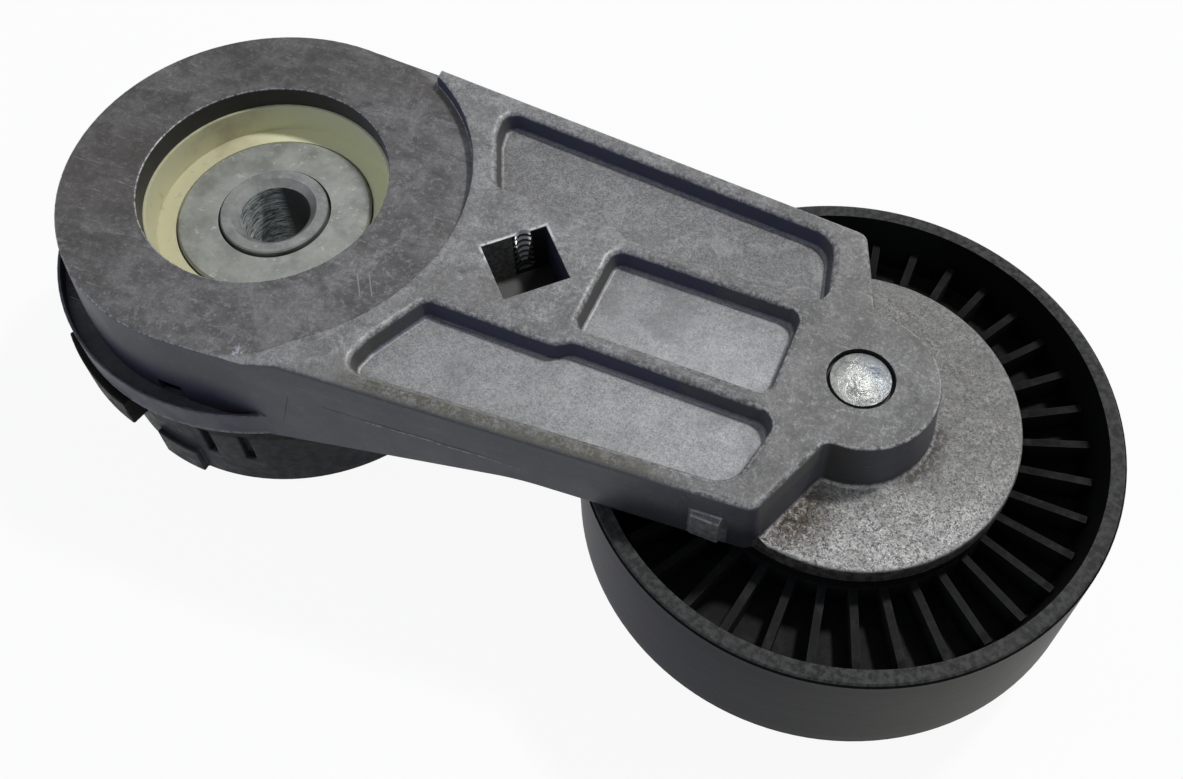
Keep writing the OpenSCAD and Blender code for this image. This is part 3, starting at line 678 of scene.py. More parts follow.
def arm_ends(f, colour):
    """A painted shadow at the foot of the wall's far end, the gate tab painted lighter as light on its shaded
    face, and the shield's rough edge painted lighter as light on its shaded side.
    """
    # painted shadow at the foot of the wall's far end, left of the gate tab
    far_foot_shadow = f.times(f.band(f.x, 0.062, 0.074), f.band(f.z, 0.0340, 0.0310), f.band(f.y, -0.0200, -0.0215))
    colour = f.mix(f.times(far_foot_shadow, 0.6), colour, (0.012, 0.012, 0.014))
    # painted light: the gate tab's shaded face is lighter than the wall
    tab = f.times(
        f.band(f.x, 0.0766, 0.0767),
        f.below(f.x, 0.0819, 0.0820),
        f.band(f.y, -0.0240, -0.0242),
        f.below(f.z, 0.0343, 0.0344),
    )
    colour = f.mix(tab, colour, f.mix(f.band(f.fine, 0.36, 0.64), grey(0.1), grey(0.2)))
    # painted light: the shield's shaded side is lighter, in ragged tones
    shield_side = f.times(
        f.below(f.z, *SHIELD_SKIN),
        f.band(f.from_idler, 0.0225, 0.0230),
        f.below(f.from_idler, 0.0240, 0.0244),
        f.band(f.z, 0.0260, 0.0264),
    )
    ragged = f.band(f.noise(900.0, 5.0, 0.7), 0.4, 0.6)
    return f.mix(shield_side, colour, f.mix(ragged, (0.05, 0.046, 0.042), (0.16, 0.155, 0.15)))


def head_walls(f, colour):
    """Painted navy shade at the foot of the head, the rubbed foot of the skirt, and the bore painted dark as
    shade, bluer to the right.
    """
    # painted navy shade low on the head's wall, above the ledge
    low_head_shade = f.times(
        f.band(f.z, 0.0300, 0.0262), f.band(f.from_pivot, 0.0282, 0.0286), f.below(f.x, 0.010, 0.022)
    )
    colour = f.mix(f.times(low_head_shade, 0.85), colour, (0.024, 0.026, 0.048))
    at_foot = f.band(f.size(f.minus(f.z, 0.0194)), 0.0007, 0.0003)
    skirt_foot = f.times(at_foot, f.band(f.from_pivot, *SKIRT_SIDE), f.specks)
    colour = f.mix(f.times(skirt_foot, 0.5), colour, (0.2, 0.2, 0.22))
    # the bore painted dark as shade, bluer to the right
    bore = f.times(f.below(f.from_pivot, 0.0186, 0.0190), f.inverse(f.facing_up))
    return f.mix(bore, colour, f.mix(f.band(f.x, -0.004, 0.012), (0.026, 0.025, 0.024), (0.03, 0.031, 0.048)))


def wall_grey(f):
    """All the upright walls."""
    colour = f.mix(f.band(f.patch, 0.32, 0.68), f.settings.wall, tint(f.settings.wall, 1.3))
    colour = f.mix(f.times(f.band(f.fine, 0.52, 0.72), 0.25), colour, (0.14, 0.138, 0.135))
    for layer in (pocket_walls, skirt_side_shade, parting_lines, square_walls, arm_ends, head_walls):
        colour = layer(f, colour)
    return colour


def worn_edges(f, colour):
    """Rubs the rounded edges bright, paints a highlight along the nose's rim, and paints light on the lit
    pockets' feet and navy shade on the shaded ones.
    """
    worn, navy = f.settings.worn, f.settings.pocket_wall_shade
    near_edge = f.times(
        f.band(f.side_y, -0.1, -0.4),
        f.band(f.y, -0.020, -0.022),
        f.band(f.x, 0.012, 0.020),
        f.below(f.x, 0.070, 0.080),
        0.75,
    )
    colour = f.mix(f.times(f.wear, f.inverse(near_edge), f.blend(f.on_head, 0.45, 0.9)), colour, worn)
    # painted highlight: a broken bright line along the nose's rounded rim
    nose_rim_highlight = f.times(
        f.band(f.up, 0.55, 0.75),
        f.below(f.up, 0.93, 0.985),
        f.below(f.from_idler, 0.0150, 0.0160),
        f.band(f.z, 0.0370, 0.0374),
    )
    colour = f.mix(f.times(nose_rim_highlight, f.band(f.tooth, 0.4, 0.54), 0.22), colour, grey(0.6))

    # a chip in the head's near rim
    from_chip = f.plus(f.distance((0.0127, -0.0268, 0.0362)), f.band(f.fine, 0.3, 0.7, -0.0007, 0.0007))
    chip = f.times(f.band(from_chip, 0.0012, 0.0004), f.band(f.tooth, 0.42, 0.56), f.band(f.up, 0.3, 0.5))
    colour = f.mix(f.times(chip, 0.75), colour, (0.42, 0.44, 0.5))

    # the pockets' feet: painted light in the worn colour on the side that faces the light, painted navy shade
    # on the side that faces away
    foot = f.times(f.rim, f.low, f.band(f.z, *UNDER_POCKETS))
    shaded_foot = f.band(f.side_y, -0.05, -0.25)
    lit_foot = f.times(foot, f.band(f.patch, 0.35, 0.6), f.inverse(shaded_foot), 0.28)
    colour = f.mix(lit_foot, colour, worn)
    colour = f.mix(f.times(foot, shaded_foot, 0.7), colour, navy)
    ledge_rim = f.times(
        f.band(f.up, 0.15, 0.4),
        f.below(f.up, 0.9, 0.99),
        f.band(f.z, 0.0234, 0.0238),
        f.below(f.z, 0.0244, 0.0246),
        f.band(f.from_pivot, *SKIRT_SIDE),
    )
    return f.mix(f.times(ledge_rim, f.specks, 0.5), colour, (0.17, 0.17, 0.2))


def marks(f, colour):
    """Faint scratches, two nicks on the head, flecks, painted shade in the gap round the rivet, brown dirt
    and painted shade in corners.
    """
    open_face = f.inverse(f.larger(f.on_shield, f.in_square))
    for turn, scale, amount in ((0.9, 880.0, 0.4), (-0.35, 1150.0, 0.3), (2.2, 700.0, 0.3)):
        lines = f.band(f.noise(4.0, 2.0, 0.5, f.stretched((55.0, scale, 55.0), turn)), 0.68, 0.73)
        scratch = f.times(lines, f.band(f.noise(75.0, 3.0, 0.5), 0.54, 0.64), f.facing_up, open_face)
        colour = f.mix(f.times(scratch, amount), colour, f.settings.worn)
    for middle in ((0.02198, -0.0111), (0.02350, -0.01045)):
        along, across = f.parts(f.moved_to(middle, -0.967))[:2]
        nick = f.times(f.near(across, 0.00005, 0.00014), f.near(along, 0.0017, 0.0023))
        nick = f.times(nick, f.on_head, f.facing_up)
        colour = f.mix(f.times(nick, 0.5), colour, (0.34, 0.33, 0.31))
    flecks = f.times(f.band(f.cells(2600.0), 0.2, 0.08), f.band(f.fine, 0.54, 0.62))
    flecks = f.times(flecks, f.inverse(f.in_square), f.inverse(f.on_ledge))
    colour = f.mix(f.times(flecks, 0.4), colour, grey(0.5))
    # painted shade: the gap round the rivet is painted black
    gap = f.times(f.below(f.from_idler, 0.00462, 0.0047), f.band(f.z, 0.035, 0.0352))
    colour = f.mix(gap, colour, grey(0.006))
    # brown dirt and painted shade in the corners, by occlusion
    corner = f.node("ShaderNodeAmbientOcclusion", {"Distance": 0.0022}, "AO", samples=6)
    dirt = f.times(f.band(corner, 0.75, 0.25, 0.0, 0.55), f.inverse(f.in_hole))
    return f.mix(dirt, colour, f.settings.dirt)


def casting_finish(settings):
    """Aged cast aluminium: grey faces, grained pockets, painted navy shade on the pocket walls, a pitted
    shield, worn edges.
    """
    f = Casting(settings)
    front = f.mix(f.in_pocket, f.mix(f.on_head, plate_grey(f), head_grey(f)), pocket_grey(f))
    # painted shadow: the square hole's floor is grey to the left and near black to the right, where the
    # shadow falls
    square_floor_shadow = f.mix(f.band(f.from_square, -0.0028, -0.0008), (0.1, 0.102, 0.1), (0.003, 0.003, 0.004))
    front = f.mix(f.in_square, front, square_floor_shadow)
    # painted shadow: the ledge under the head is dark navy
    front = f.mix(f.on_ledge, front, f.mix(f.mottle, (0.028, 0.029, 0.042), (0.052, 0.054, 0.072)))
    front = f.mix(f.on_shield, front, shield_grey(f))
    colour = f.mix(f.facing_up, wall_grey(f), front)
    colour = marks(f, worn_edges(f, colour))

    roughness = f.blend(f.band(f.patch, 0.3, 0.7), 0.46, 0.62)
    roughness = f.blend(f.times(f.wear, 0.6), roughness, 0.38)
    roughness = f.blend(f.on_shield, roughness, f.blend(f.band(f.grit, 0.4, 0.6), 0.5, 0.3))
    metallic = f.blend(f.on_shield, f.blend(f.facing_up, 0.1, 0.25), 0.45)

    # The lands' crests shine upwards.
    crest = f.times(f.land, f.inverse(f.facing_up), f.in_hole)
    rise = f.node("ShaderNodeCombineXYZ", {"Z": f.times(crest, 2.6)})
    risen = f.node("ShaderNodeVectorMath", {0: f.geometry.outputs["Normal"], 1: rise}, operation="ADD")
    tilted = f.node("ShaderNodeVectorMath", {0: risen}, operation="NORMALIZE")
    coarse = f.blend(f.larger(f.on_shield, f.times(f.in_pocket, 0.6)), 0.4, 1.0)
    pits = f.plus(f.times(f.grain, 0.7), f.times(f.fine, 0.5))
    pits = f.blend(f.on_shield, pits, f.times(f.grit, 2.6))
    return f.finish(
        Base_Color=colour,
        Roughness=f.blend(crest, roughness, 0.5),
        Metallic=f.larger(metallic, f.times(crest, 0.8)),
        Specular_IOR_Level=0.3,
        Normal=f.bump(f.times(pits, coarse), 0.5, 0.00016, tilted),
    )


def cup_finish(settings):
    """Black coated casting with grey dust, rubbed edges and a painted shadow under the skirt."""
    f = Finish("black_coating")
    fine = f.noise(700.0, 4.0, 0.6)
    patch = f.noise(120.0, 4.0, 0.6)
    colour = f.mix(f.band(patch, 0.4, 0.7), settings.coat, settings.dust)
    # painted shadow: the cup's top, under the skirt, is near black
    shadow_under_skirt = f.band(f.z, 0.0122, 0.0130)
    colour = f.mix(f.times(shadow_under_skirt, 0.9), colour, grey(0.002))
    edge = f.times(f.band(f.soft_edge(0.0005), 0.03, 0.2), f.band(fine, 0.45, 0.6), f.inverse(shadow_under_skirt))
    colour = f.mix(f.times(edge, 0.5), colour, (0.13, 0.13, 0.135))
    return f.finish(
        Base_Color=colour,
        Roughness=f.blend(f.band(fine, 0.3, 0.7), 0.42, 0.62),
        Metallic=0.0,
        Specular_IOR_Level=0.06,
        Normal=f.bump(fine, 0.35, 0.0002),
    )


def pulley_finish(settings):
    """Glass-filled black plastic, polished by the belt, with painted shade towards the arm, inside the rim
    and on the ribs, and a dark line of painted shade at the rim's corner.
    """
    f = Finish("pulley_plastic")
    from_axis = f.radius_about(IDLER)
    fine = f.noise(1200.0, 4.0, 0.65)
    patch = f.noise(90.0, 5.0, 0.6)

    # belt face, with painted blue shade towards the arm
    face = f.band(from_axis, 0.0376, 0.0379)
    rings = f.noise(1.0, 3.0, 0.6, f.stretched((8.0, 8.0, 1900.0)))
    polish = f.mix(f.band(patch, 0.35, 0.7, 0.0, 0.5), settings.polish, (0.06, 0.06, 0.055))
    # painted shade: the face turns blue-black towards the arm, over the belt polish
    polish = f.mix(f.band(f.plus(f.x, f.times(f.y, 0.3)), 0.106, 0.062), polish, (0.004, 0.005, 0.014))
    colour = f.mix(face, settings.plastic, polish)

    # painted shade inside the rim, its flat lip, painted shadow on the ribs' tops
    # painted shade on the rim's inner wall, on the side away from the arm
    inner_wall_shade = f.times(f.band(from_axis, 0.0325, 0.0335), f.inverse(face), f.band(f.x, 0.088, 0.1), 0.75)
    colour = f.mix(inner_wall_shade, colour, grey(0.004))
    lip = f.times(f.band(from_axis, 0.0350, 0.0356), f.band(f.up, 0.4, 0.6))
    colour = f.mix(f.times(lip, f.band(fine, 0.35, 0.65, 0.3, 1.0)), colour, (0.074, 0.0745, 0.074))
    # painted shadow on the ribs' tops, deepest near the hub and on the arm's side
    rib_top_shadow = f.times(
        f.below(from_axis, 0.0345, 0.0350),
        f.band(f.up, 0.7, 0.95),
        f.band(from_axis, 0.034, 0.025, 0.35, 1.0),
        f.band(f.y, -0.026, 0.004, 0.2, 0.95),
    )
    colour = f.mix(rib_top_shadow, colour, grey(0.003))
    dust = f.times(f.band(f.noise(260.0, 5.0, 0.7), 0.48, 0.68), f.band(f.up, 0.3, 0.9))
    colour = f.mix(f.times(dust, 0.25), colour, grey(0.06))
    # painted shade: a dark line along the rim's chamfer
    chamfer_shade = f.times(f.band(from_axis, 0.03772, 0.03776), f.band(f.up, 0.3, 0.5), f.band(f.up, 0.9, 0.8))
    colour = f.mix(f.times(chamfer_shade, 0.9), colour, grey(0.001))
    edge = f.times(f.soft_edge(0.00025), f.band(fine, 0.35, 0.6))
    colour = f.mix(f.band(edge, 0.05, 0.35, 0.0, 0.35), colour, grey(0.1))

    moulded = f.blend(f.band(fine, 0.3, 0.7), 0.42, 0.58)
    polished = f.blend(f.band(rings, 0.35, 0.65), 0.38, 0.42)
    return f.finish(
        Base_Color=colour,
        Roughness=f.blend(chamfer_shade, f.blend(face, moulded, polished), 0.9),
        Metallic=0.0,
        Specular_IOR_Level=0.03,
        Normal=f.bump(f.plus(f.times(fine, 0.5), f.times(rings, face, 0.05)), 0.2, 0.0001),
    )


def tube_finish(settings):
    """The pivot tube: dull steel outside, rough grey-green drawn steel in its bore, with a painted shadow
    across one side of the bore.
    """
    f = Finish("tube_steel")
    steel = settings.steel
    fine = f.noise(1100.0, 5.0, 0.7)
    patch = f.noise(320.0, 5.0, 0.65)
    face = f.mix(f.band(patch, 0.3, 0.7), tint(steel, 0.6), steel)
    face = f.mix(f.band(fine, 0.55, 0.72, 0.0, 0.35), face, tint(steel, 2.0))
    edge = f.band(f.soft_edge(0.0002), 0.03, 0.25)
    face = f.mix(f.times(edge, 0.4), face, (0.45, 0.46, 0.45))
    drawn = f.noise(1.0, 6.0, 0.75, f.stretched((420.0, 420.0, 2400.0)), 0.8)
    inside = f.mix(f.band(drawn, 0.40, 0.60), (0.03, 0.04, 0.042), (0.88, 0.95, 0.95))
    # painted shadow across one side of the bore
    inside = f.mix(f.band(f.plus(f.x, f.times(f.y, 0.4)), -0.0013, 0.0004), inside, (0.003, 0.004, 0.005))
    in_bore = f.times(f.below(f.radius_about(PIVOT), 0.0052, 0.0054), f.band(f.size(f.up), 0.3, 0.2))
    return f.finish(
        Base_Color=f.mix(in_bore, face, inside),
        Roughness=f.blend(f.band(patch, 0.3, 0.7), 0.42, 0.58),
        Metallic=f.blend(in_bore, 0.45, 0.1),
        Normal=f.bump(f.plus(fine, f.times(drawn, in_bore, 1.5)), 0.35, 0.00015),
    )


def metal_finish(name, colour, dark, roughness, metallic=0.85, mottle=160.0, bump=0.25, rings=None, gap=0.0):
    """Plated or ground metal with mottling, small pits and rubbed edges.

    rings is the axis of turning marks, and gap the radius inside which the gap is painted dark as shade.
    """
    f = Finish(name)
    fine = f.noise(900.0, 4.0, 0.62)
    patch = f.noise(mottle, 5.0, 0.65)
    base = f.mix(f.band(patch, 0.32, 0.68), dark, colour)
    base = f.mix(f.times(f.band(fine, 0.58, 0.72), 0.5), base, tint(colour, 1.7))
    edge = f.band(f.soft_edge(0.00025), 0.03, 0.25)
    base = f.mix(f.times(edge, 0.45), base, tint(colour, 2.1))
    # painted shade: a dark ring inside the gap's radius
    if gap:
        base = f.mix(f.below(f.radius_about(PIVOT), gap - 0.0001, gap), base, grey(0.004))
    height = fine
    if rings is not None:
        outwards = f.node("ShaderNodeCombineXYZ", {"X": f.times(f.radius_about(rings), 4200.0)})
        height = f.plus(f.times(fine, 0.5), f.noise(1.0, 2.0, 0.5, outwards))
    rough = f.blend(f.band(patch, 0.3, 0.7), roughness, roughness + 0.16)
    return f.finish(Base_Color=base, Roughness=rough, Metallic=metallic, Normal=f.bump(height, bump, 0.00012))


def rivet_finish(settings):
    """Bright riveted head with a hammered, finely wrinkled dome, a shaded side and a small burr."""
    f = Finish("rivet_steel")
    fine = f.noise(1300.0, 6.0, 0.75)
    patch = f.noise(420.0, 5.0, 0.7, distortion=0.8)
    ridge = f.size(f.minus(f.noise(300.0, 4.0, 0.62, distortion=1.4), 0.5))
    wrinkle = f.band(ridge, 0.004, 0.018, 1.0, 0.0)
    colour = f.mix(f.band(patch, 0.36, 0.62), tint(settings.rivet, 0.36), settings.rivet)
    colour = f.mix(f.times(f.band(fine, 0.5, 0.66), 0.45), colour, (0.85, 0.87, 0.87))
    colour = f.mix(f.times(wrinkle, f.band(patch, 0.4, 0.6), 0.6), colour, (0.09, 0.09, 0.088))
    rim = f.times(f.band(f.radius_about(IDLER), 0.0029, 0.0037), f.band(fine, 0.3, 0.7, 0.4, 1.0), 0.6)
    colour = f.mix(rim, colour, (0.17, 0.175, 0.175))
    shaded = f.band(f.plus(f.minus(f.x, IDLER[0]), f.y), -0.0012, 0.0036)
    colour = f.mix(f.times(shaded, f.band(patch, 0.3, 0.6, 0.35, 0.8)), colour, (0.2, 0.22, 0.245))
    burr = f.band(f.distance((0.0929, 0.0015, 0.0391)), 0.0016, 0.0006)
    colour = f.mix(f.times(burr, f.band(fine, 0.42, 0.56), 0.8), colour, (0.06, 0.075, 0.12))
    dented = f.plus(f.times(patch, 2.0), f.plus(f.times(fine, 0.5), f.times(ridge, 2.0)))
    return f.finish(
        Base_Color=colour,
        Roughness=f.blend(f.band(patch, 0.3, 0.7), 0.28, 0.44),
        Metallic=0.55,
        Normal=f.bump(dented, 0.6, 0.0002),
    )


def nylon_finish(name, clean, dirty):
    """Aged nylon with dirt in patches, painted lighter towards the far right as light on its shaded side."""
    f = Finish(name)
    fine = f.noise(800.0, 3.0, 0.6)
    patch = f.noise(150.0, 4.0, 0.6)
    colour = f.toned(clean, patch, (0.5, 0.78, 0.0, 0.6, dirty))
    colour = f.toned(colour, fine, (0.6, 0.75, 0.0, 0.25, tint(dirty, 0.55)))
    # painted light: paler towards the far right
    colour = f.toned(colour, f.plus(f.x, f.y), (-0.006, 0.010, 0.0, 0.85, tint(clean, 1.62, 0.9)))
    f.shader.inputs["Subsurface Radius"].default_value = (1.0, 0.8, 0.4)
    return f.finish(
        Base_Color=colour,
        Roughness=f.blend(fine, 0.4, 0.55),
        Metallic=0.0,
        Subsurface_Weight=0.4,
        Subsurface_Scale=0.002,
        Normal=f.bump(fine, 0.2, 0.0001),
    )


def rubber_finish(name, colour):
    """Matt black rubber or liner with fine tooth."""
    f = Finish(name)
    fine = f.noise(1500.0, 3.0, 0.6)
    base = f.mix(f.band(f.noise(200.0, 3.0, 0.6), 0.4, 0.7), colour, tint(colour, 1.8))
    return f.finish(
        Base_Color=base,
        Roughness=f.blend(fine, 0.6, 0.8),
        Metallic=0.0,
        Normal=f.bump(fine, 0.2, 0.0001),
    )


# ---------------------------------------------------------------- making pieces

SHARP = math.radians(28.0)  # the least fold that counts as an edge
SQUARE_REACH = 0.00682  # from the square hole's middle to its corners, in metres
CUP_SLOTS = (154.5, 166.0)  # where two of the cup's slots lie round the pivot, in degrees
POCKET_FEET = (POCKET_FLOOR - 0.00005, POCKET_FLOOR + 0.00005, 0.00035)  # heights and reach of joined points


def link(piece):
    """Puts a new object in the scene."""
    bpy.context.scene.collection.objects.link(piece)
    return piece


def applied(piece):
    """Applies a piece's modifiers to its mesh."""
    graph = bpy.context.evaluated_depsgraph_get()
    graph.update()
    mesh = bpy.data.meshes.new_from_object(piece.evaluated_get(graph))
    old = piece.data
    piece.modifiers.clear()
    piece.data = mesh
    bpy.data.meshes.remove(old)
    return piece


def eased(node, name, width, share, segments, joined=None):
    """A new piece with a node's form, whose sharp edges are rounded.

    share gives each edge's part of the width from the edge's middle. joined is a range of heights and a
    reach: points between those heights that lie closer than the reach become one.
    """
    form = bmesh.new()
    form.from_mesh(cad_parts[node].data)
    bmesh.ops.remove_doubles(form, verts=form.verts, dist=2e-6)
    bmesh.ops.dissolve_limit(form, angle_limit=math.radians(0.5), verts=form.verts, edges=form.edges)
    if joined is not None:
        low, high, reach = joined
        bmesh.ops.remove_doubles(form, verts=[v for v in form.verts if low < v.co.z < high], dist=reach)
    weight = form.edges.layers.float.new("bevel_weight_edge")
    for edge in form.edges:
        if len(edge.link_faces) == 2 and edge.calc_face_angle() > SHARP:
            edge[weight] = share((edge.verts[0].co + edge.verts[1].co) / 2.0)
            edge.smooth = edge[weight] > 0.0
    mesh = bpy.data.meshes.new(name)
    form.to_mesh(mesh)
    form.free()
    piece = link(bpy.data.objects.new(name, mesh))
    for face in mesh.polygons:
        face.use_smooth = True
    ease = piece.modifiers.new("rounding", "BEVEL")
    ease.limit_method = "WEIGHT"
    ease.width = width
    ease.segments = segments
    ease.use_clamp_overlap = False
    ease.loop_slide = False
    ease.miter_outer = "MITER_SHARP"
    even = piece.modifiers.new("even_shading", "WEIGHTED_NORMAL")
    even.keep_sharp = True
    return applied(piece)


def arm_edge(middle):
    """How far each sharp edge of the casting is rounded, from 0 to 1 of the full width."""
    x, y, z = middle
    from_pivot = math.hypot(x - PIVOT[0], y - PIVOT[1])
    from_idler = math.hypot(x - IDLER[0], y - IDLER[1])
    on_plate = z > PLATE_TOP - HAIR
    if math.hypot(x - SQUARE[0], y) < 0.008:  # square hole: only its mouth
        at_mouth = abs(abs(x - SQUARE[0]) + abs(y) - SQUARE_REACH) < HAIR
        return 0.22 if on_plate and at_mouth else 0.0
    if from_idler < 0.0048:  # rivet's hole: only its mouth
        return 0.2 if on_plate else 0.0
    if on_plate:  # plate's outline and pockets
        return 0.55 if from_pivot < STEP_RADIUS + HAIR or from_idler < 0.015 else 1.0
    if z > HEAD_TOP + 0.0003 and y < -0.020 and 0.014 < x < 0.021:  # where the plate's step runs out
        return 0.0 if x < 0.0148 else 0.3 if from_pivot < STEP_RADIUS + 3.0 * HAIR else 0.55
    if abs(z - POCKET_FLOOR) < HAIR:
        return 0.55
    if abs(z - HEAD_TOP) < HAIR:
        return 0.32 if from_pivot < STEP_RADIUS - 0.0006 else 0.25
    if abs(z - SHIELD_TOP) < HAIR:
        return 0.8
    if y < -0.0235 and 0.077 < x < 0.0816 and 0.0288 < z < 0.0343:  # gate tab
        return 0.35
    if abs(z - LEDGE_TOP) < HAIR and from_pivot > SKIRT_RADIUS - 0.001:
        return 0.2
    if abs(z - SKIRT_FOOT) < HAIR and from_pivot > SKIRT_RADIUS - 0.0005:
        return 0.3
    return 0.0


def cup_edge(middle):
    """How far the cup's outer edges are rounded. The two slots that run in under a stop lug stay sharp."""
    x, y, z = middle
    around = math.degrees(math.atan2(y, x))
    if 0.0064 < z < 0.0131 and min(abs(around - slot) for slot in CUP_SLOTS) < 2.2:
        return 0.0
    return 1.0 if math.hypot(x, y) > 0.030 else 0.0


def dress(material, *nodes):
    """Gives CAD nodes their finish."""
    for node in nodes:
        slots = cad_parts[node].data.materials
        if slots:
            for index in range(len(slots)):
                slots[index] = material
        else:
            slots.append(material)


def paint(piece, material):
    """Gives a new piece its finish."""
    piece.data.materials.clear()
    piece.data.materials.append(material)


# ---------------------------------------------------------------- stage pieces


def area_light(name, place, aim, energy, size, colour):
    """A soft lamp."""
    lamp = bpy.data.lights.new(name, "AREA")
    lamp.shape = "DISK"
    lamp.size = size
    lamp.energy = energy
    lamp.color = colour
    holder = link(bpy.data.objects.new(name, lamp))
    holder.location = place
    holder.rotation_euler = (Vector(aim) - Vector(place)).to_track_quat("-Z", "Y").to_euler()


def seen_by_eye(tree):
    """1 for camera, glossy and transmission rays, which see the plain backdrop."""
    path = tree.nodes.new("ShaderNodeLightPath")
    total = path.outputs["Is Camera Ray"]
    for name in ("Is Glossy Ray", "Is Transmission Ray"):
        add = tree.nodes.new("ShaderNodeMath")
        add.operation = "MAXIMUM"
        tree.links.new(total, add.inputs[0])
        tree.links.new(path.outputs[name], add.inputs[1])
        total = add.outputs[0]
    return total


def glow(tree, kind, colour, strength):
    """A node that gives off even light."""
    made = tree.nodes.new(kind)
    made.inputs["Color"].default_value = (*colour, 1.0)
    made.inputs["Strength"].default_value = strength
    return made.outputs[0]


def pick(tree, amount, first, second, surface):
    """Links a blend of two shaders to a surface."""
    made = tree.nodes.new("ShaderNodeMixShader")
    for socket, value in zip(made.inputs, (amount, first, second)):
        tree.links.new(value, socket)
    tree.links.new(made.outputs[0], surface)


def white_room(level):
    """An evenly lit room that looks white."""
    world = bpy.data.worlds.new("room")
    world.use_nodes = True
    tree = world.node_tree
    tree.nodes.clear()
    out = tree.nodes.new("ShaderNodeOutputWorld")
    room = glow(tree, "ShaderNodeBackground", (0.82, 0.88, 1.0), level)
    white = glow(tree, "ShaderNodeBackground", (1.0, 1.0, 1.0), 1.0)
    pick(tree, seen_by_eye(tree), room, white, out.inputs["Surface"])
    return world


def paper_floor():
    """A white paper floor just below the part, which keeps the part's shadow."""
    form = bmesh.new()
    bmesh.ops.create_grid(form, x_segments=4, y_segments=4, size=1.2)
    mesh = bpy.data.meshes.new("floor")
    form.to_mesh(mesh)
    form.free()
    floor = link(bpy.data.objects.new("floor", mesh))
    floor.location = (0.045, 0.0, CAD_BOX[0][2] - 0.0002)
    paper = bpy.data.materials.new("white_paper")
    paper.use_nodes = True
    tree = paper.node_tree
    shader = tree.nodes["Principled BSDF"]
    shader.inputs["Base Color"].default_value = (0.78, 0.79, 0.8, 1.0)
    shader.inputs["Roughness"].default_value = 0.9
    share = tree.nodes.new("ShaderNodeMath")
    share.operation = "MULTIPLY"
    tree.links.new(seen_by_eye(tree), share.inputs[0])
    share.inputs[1].default_value = 0.93
    white = glow(tree, "ShaderNodeEmission", (1.0, 1.0, 1.0), 1.0)
    pick(tree, share.outputs[0], shader.outputs[0], white, tree.nodes["Material Output"].inputs["Surface"])
    mesh.materials.append(paper)


def front_camera(lens):
    """A camera above the near side, looking down across the arm."""
    data = bpy.data.cameras.new("camera")
    data.lens = lens
    data.sensor_width = 36.0
    data.shift_x = -0.0718
    data.shift_y = -0.0731
    data.clip_start = 0.01
    data.clip_end = 10.0
    camera = link(bpy.data.objects.new("camera", data))
    place = (0.10053, -0.09848, 0.19264)
    right = Vector((0.9275, 0.3730, 0.0250))
    down = Vector((0.3203, -0.7584, -0.5676))
    ahead = Vector((-0.1928, 0.5345, -0.8229))
    turn = Matrix((right, -down, -ahead)).transposed()
    camera.matrix_world = Matrix.Translation(place) @ turn.to_4x4()
    return camera


# ---------------------------------------------------------------- operators


class TENSIONER_OT_stage(bpy.types.Operator):
    """Sets the floor, the lights and the camera"""

    bl_idname = "tensioner.stage"
    bl_label = "Stage"

    def execute(self, context):
        settings = context.scene.tensioner_stage
        context.scene.view_settings.view_transform = "Standard"
        context.scene.world = white_room(settings.world_level)
        paper_floor()
        middle = (0.045, 0.0, 0.02)
        warm, cool = (1.0, 0.985, 0.96), (0.75, 0.84, 1.0)
        area_light("key", (0.280, 0.324, 0.713), middle, settings.key_power, size=0.08, colour=warm)
        area_light("fill", (-0.35, -0.25, 0.30), middle, settings.fill_power, size=0.35, colour=cool)
        context.scene.camera = front_camera(settings.lens)
        return {"FINISHED"}


class TENSIONER_OT_arm(bpy.types.Operator):
    """Builds the cast arm with softened edges and its aged finish"""

    bl_idname = "tensioner.arm"
    bl_label = "Cast arm"

    def execute(self, context):
        settings = context.scene.tensioner_casting
        piece = eased("tension_arm", "arm_casting", settings.edge_softness, arm_edge, 4, POCKET_FEET)
        paint(piece, casting_finish(settings))
        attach(piece, "arm")
        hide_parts("tension_arm")
        return {"FINISHED"}


class TENSIONER_OT_cup(bpy.types.Operator):
    """Builds the black cup that is bolted to the engine"""

    bl_idname = "tensioner.cup"
    bl_label = "Spring cup"

    def execute(self, context):
        settings = context.scene.tensioner_cup
        piece = eased("spring_housing", "black_cup", settings.edge_softness, cup_edge, 3)
        paint(piece, cup_finish(settings))
        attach(piece, "base")
        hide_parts("spring_housing")
        return {"FINISHED"}


class TENSIONER_OT_pivot(bpy.types.Operator):
    """Finishes the steel tube, front plate, bushes and washers in the head"""

    bl_idname = "tensioner.pivot"
    bl_label = "Pivot pieces"

    def execute(self, context):
        settings = context.scene.tensioner_pivot
        steel, zinc = settings.steel, settings.zinc
        # radius of the groove round the tube, painted dark as shade
        round_tube = 0.00844
        dress(tube_finish(settings), "pivot_tube")
        dull = metal_finish("dull_steel", steel, tint(steel, 0.6), 0.42, metallic=0.6)
        dress(dull, "thrust_washer", "locating_pin")
        plate = metal_finish(
            "mottled_zinc", zinc, tint(zinc, 0.62), 0.5, metallic=0.4, mottle=240.0, gap=round_tube
        )
        dress(plate, "front_plate")
        cream = nylon_finish("cream_nylon", settings.nylon, settings.nylon_dirt)
        dress(cream, "friction_bush", "pivot_bush", "spring_seat")
        dress(rubber_finish("dark_liner", (0.03, 0.03, 0.032)), "friction_disc", "damping_sleeve", "rim_seal")
        return {"FINISHED"}


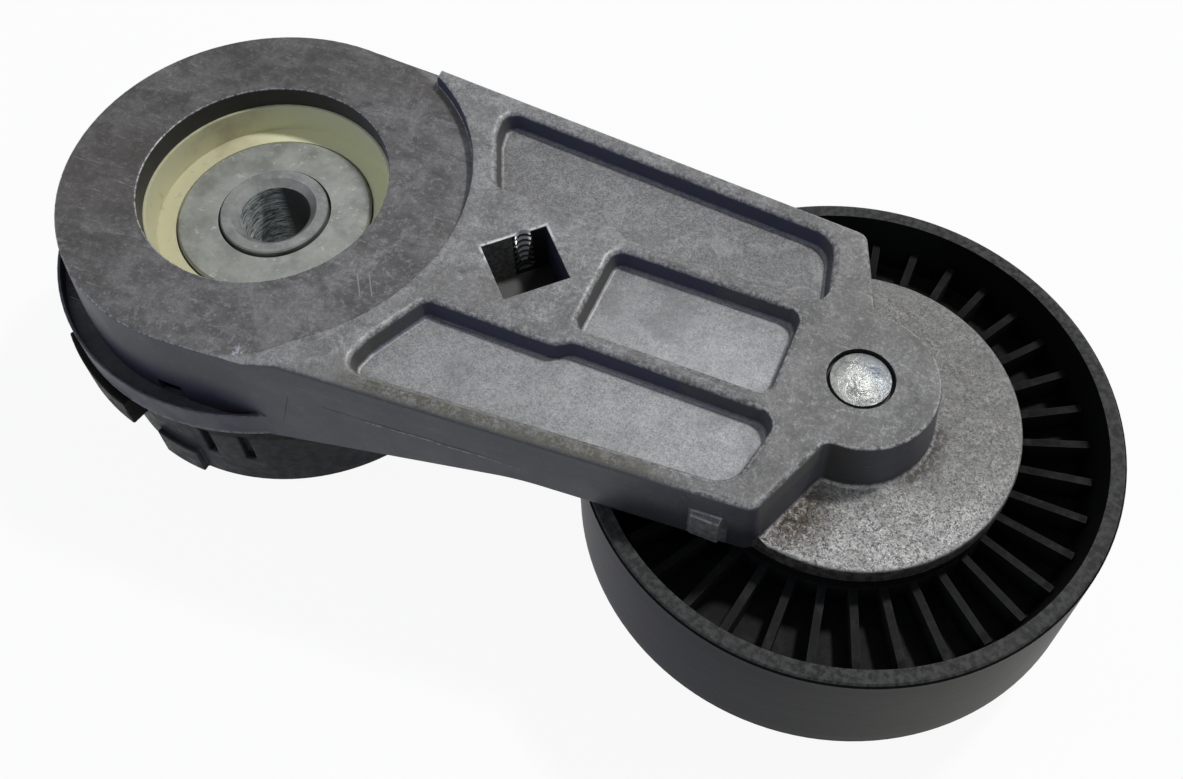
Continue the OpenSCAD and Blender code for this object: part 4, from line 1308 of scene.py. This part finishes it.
class TENSIONER_OT_spring(bpy.types.Operator):
    """Finishes the torsion spring"""

    bl_idname = "tensioner.spring"
    bl_label = "Torsion spring"

    def execute(self, context):
        dress(metal_finish("spring_wire", (0.12, 0.125, 0.135), (0.05, 0.052, 0.06), 0.36), "torsion_spring")
        return {"FINISHED"}


class TENSIONER_OT_idler(bpy.types.Operator):
    """Finishes the ribbed pulley and its dust cap"""

    bl_idname = "tensioner.idler"
    bl_label = "Idler pulley"

    def execute(self, context):
        dress(pulley_finish(context.scene.tensioner_idler), "idler_pulley", "rear_dust_cap")
        return {"FINISHED"}


class TENSIONER_OT_bearing(bpy.types.Operator):
    """Finishes the rivet and the ball bearing"""

    bl_idname = "tensioner.bearing"
    bl_label = "Rivet and bearing"

    def execute(self, context):
        dress(rivet_finish(context.scene.tensioner_idler), "bearing_pin")
        bright, dull = (0.55, 0.55, 0.57), (0.4, 0.4, 0.42)
        ground = metal_finish("ground_steel", bright, dull, 0.18, bump=0.1, rings=IDLER)
        dress(ground, "bearing_inner_ring", "bearing_outer_ring", "bearing_balls", "spacer_washer")
        dress(nylon_finish("cage_nylon", (0.2, 0.16, 0.09), (0.1, 0.08, 0.05)), "ball_cage")
        dress(rubber_finish("seal_rubber", (0.015, 0.015, 0.016)), "front_seal", "rear_seal")
        return {"FINISHED"}


STEPS = (
    TENSIONER_OT_stage,
    TENSIONER_OT_arm,
    TENSIONER_OT_cup,
    TENSIONER_OT_pivot,
    TENSIONER_OT_spring,
    TENSIONER_OT_idler,
    TENSIONER_OT_bearing,
)


class TENSIONER_PT_panel(bpy.types.Panel):
    """Lists the steps and their settings"""

    bl_idname = "TENSIONER_PT_panel"
    bl_label = "Belt Tensioner"
    bl_space_type = "VIEW_3D"
    bl_region_type = "UI"
    bl_category = "Tensioner"

    def draw(self, context):
        for step in STEPS:
            self.layout.operator(step.bl_idname)
        for key, group in GROUPS.items():
            box = self.layout.box()
            box.label(text=group.__doc__)
            for name in group.__annotations__:
                box.prop(getattr(context.scene, key), name)


CLASSES = (*GROUPS.values(), *STEPS, TENSIONER_PT_panel)


def register():
    """Makes the settings, steps and panel known."""
    for item in CLASSES:
        bpy.utils.register_class(item)
    for key, group in GROUPS.items():
        setattr(bpy.types.Scene, key, bpy.props.PointerProperty(type=group))


def unregister():
    """Takes them away again."""
    for key in GROUPS:
        delattr(bpy.types.Scene, key)
    for item in reversed(CLASSES):
        bpy.utils.unregister_class(item)


def main():
    """Runs every step."""
    register()
    for step in STEPS:
        family, name = step.bl_idname.split(".")
        getattr(getattr(bpy.ops, family), name)()


if __name__ == "__main__":
    main()
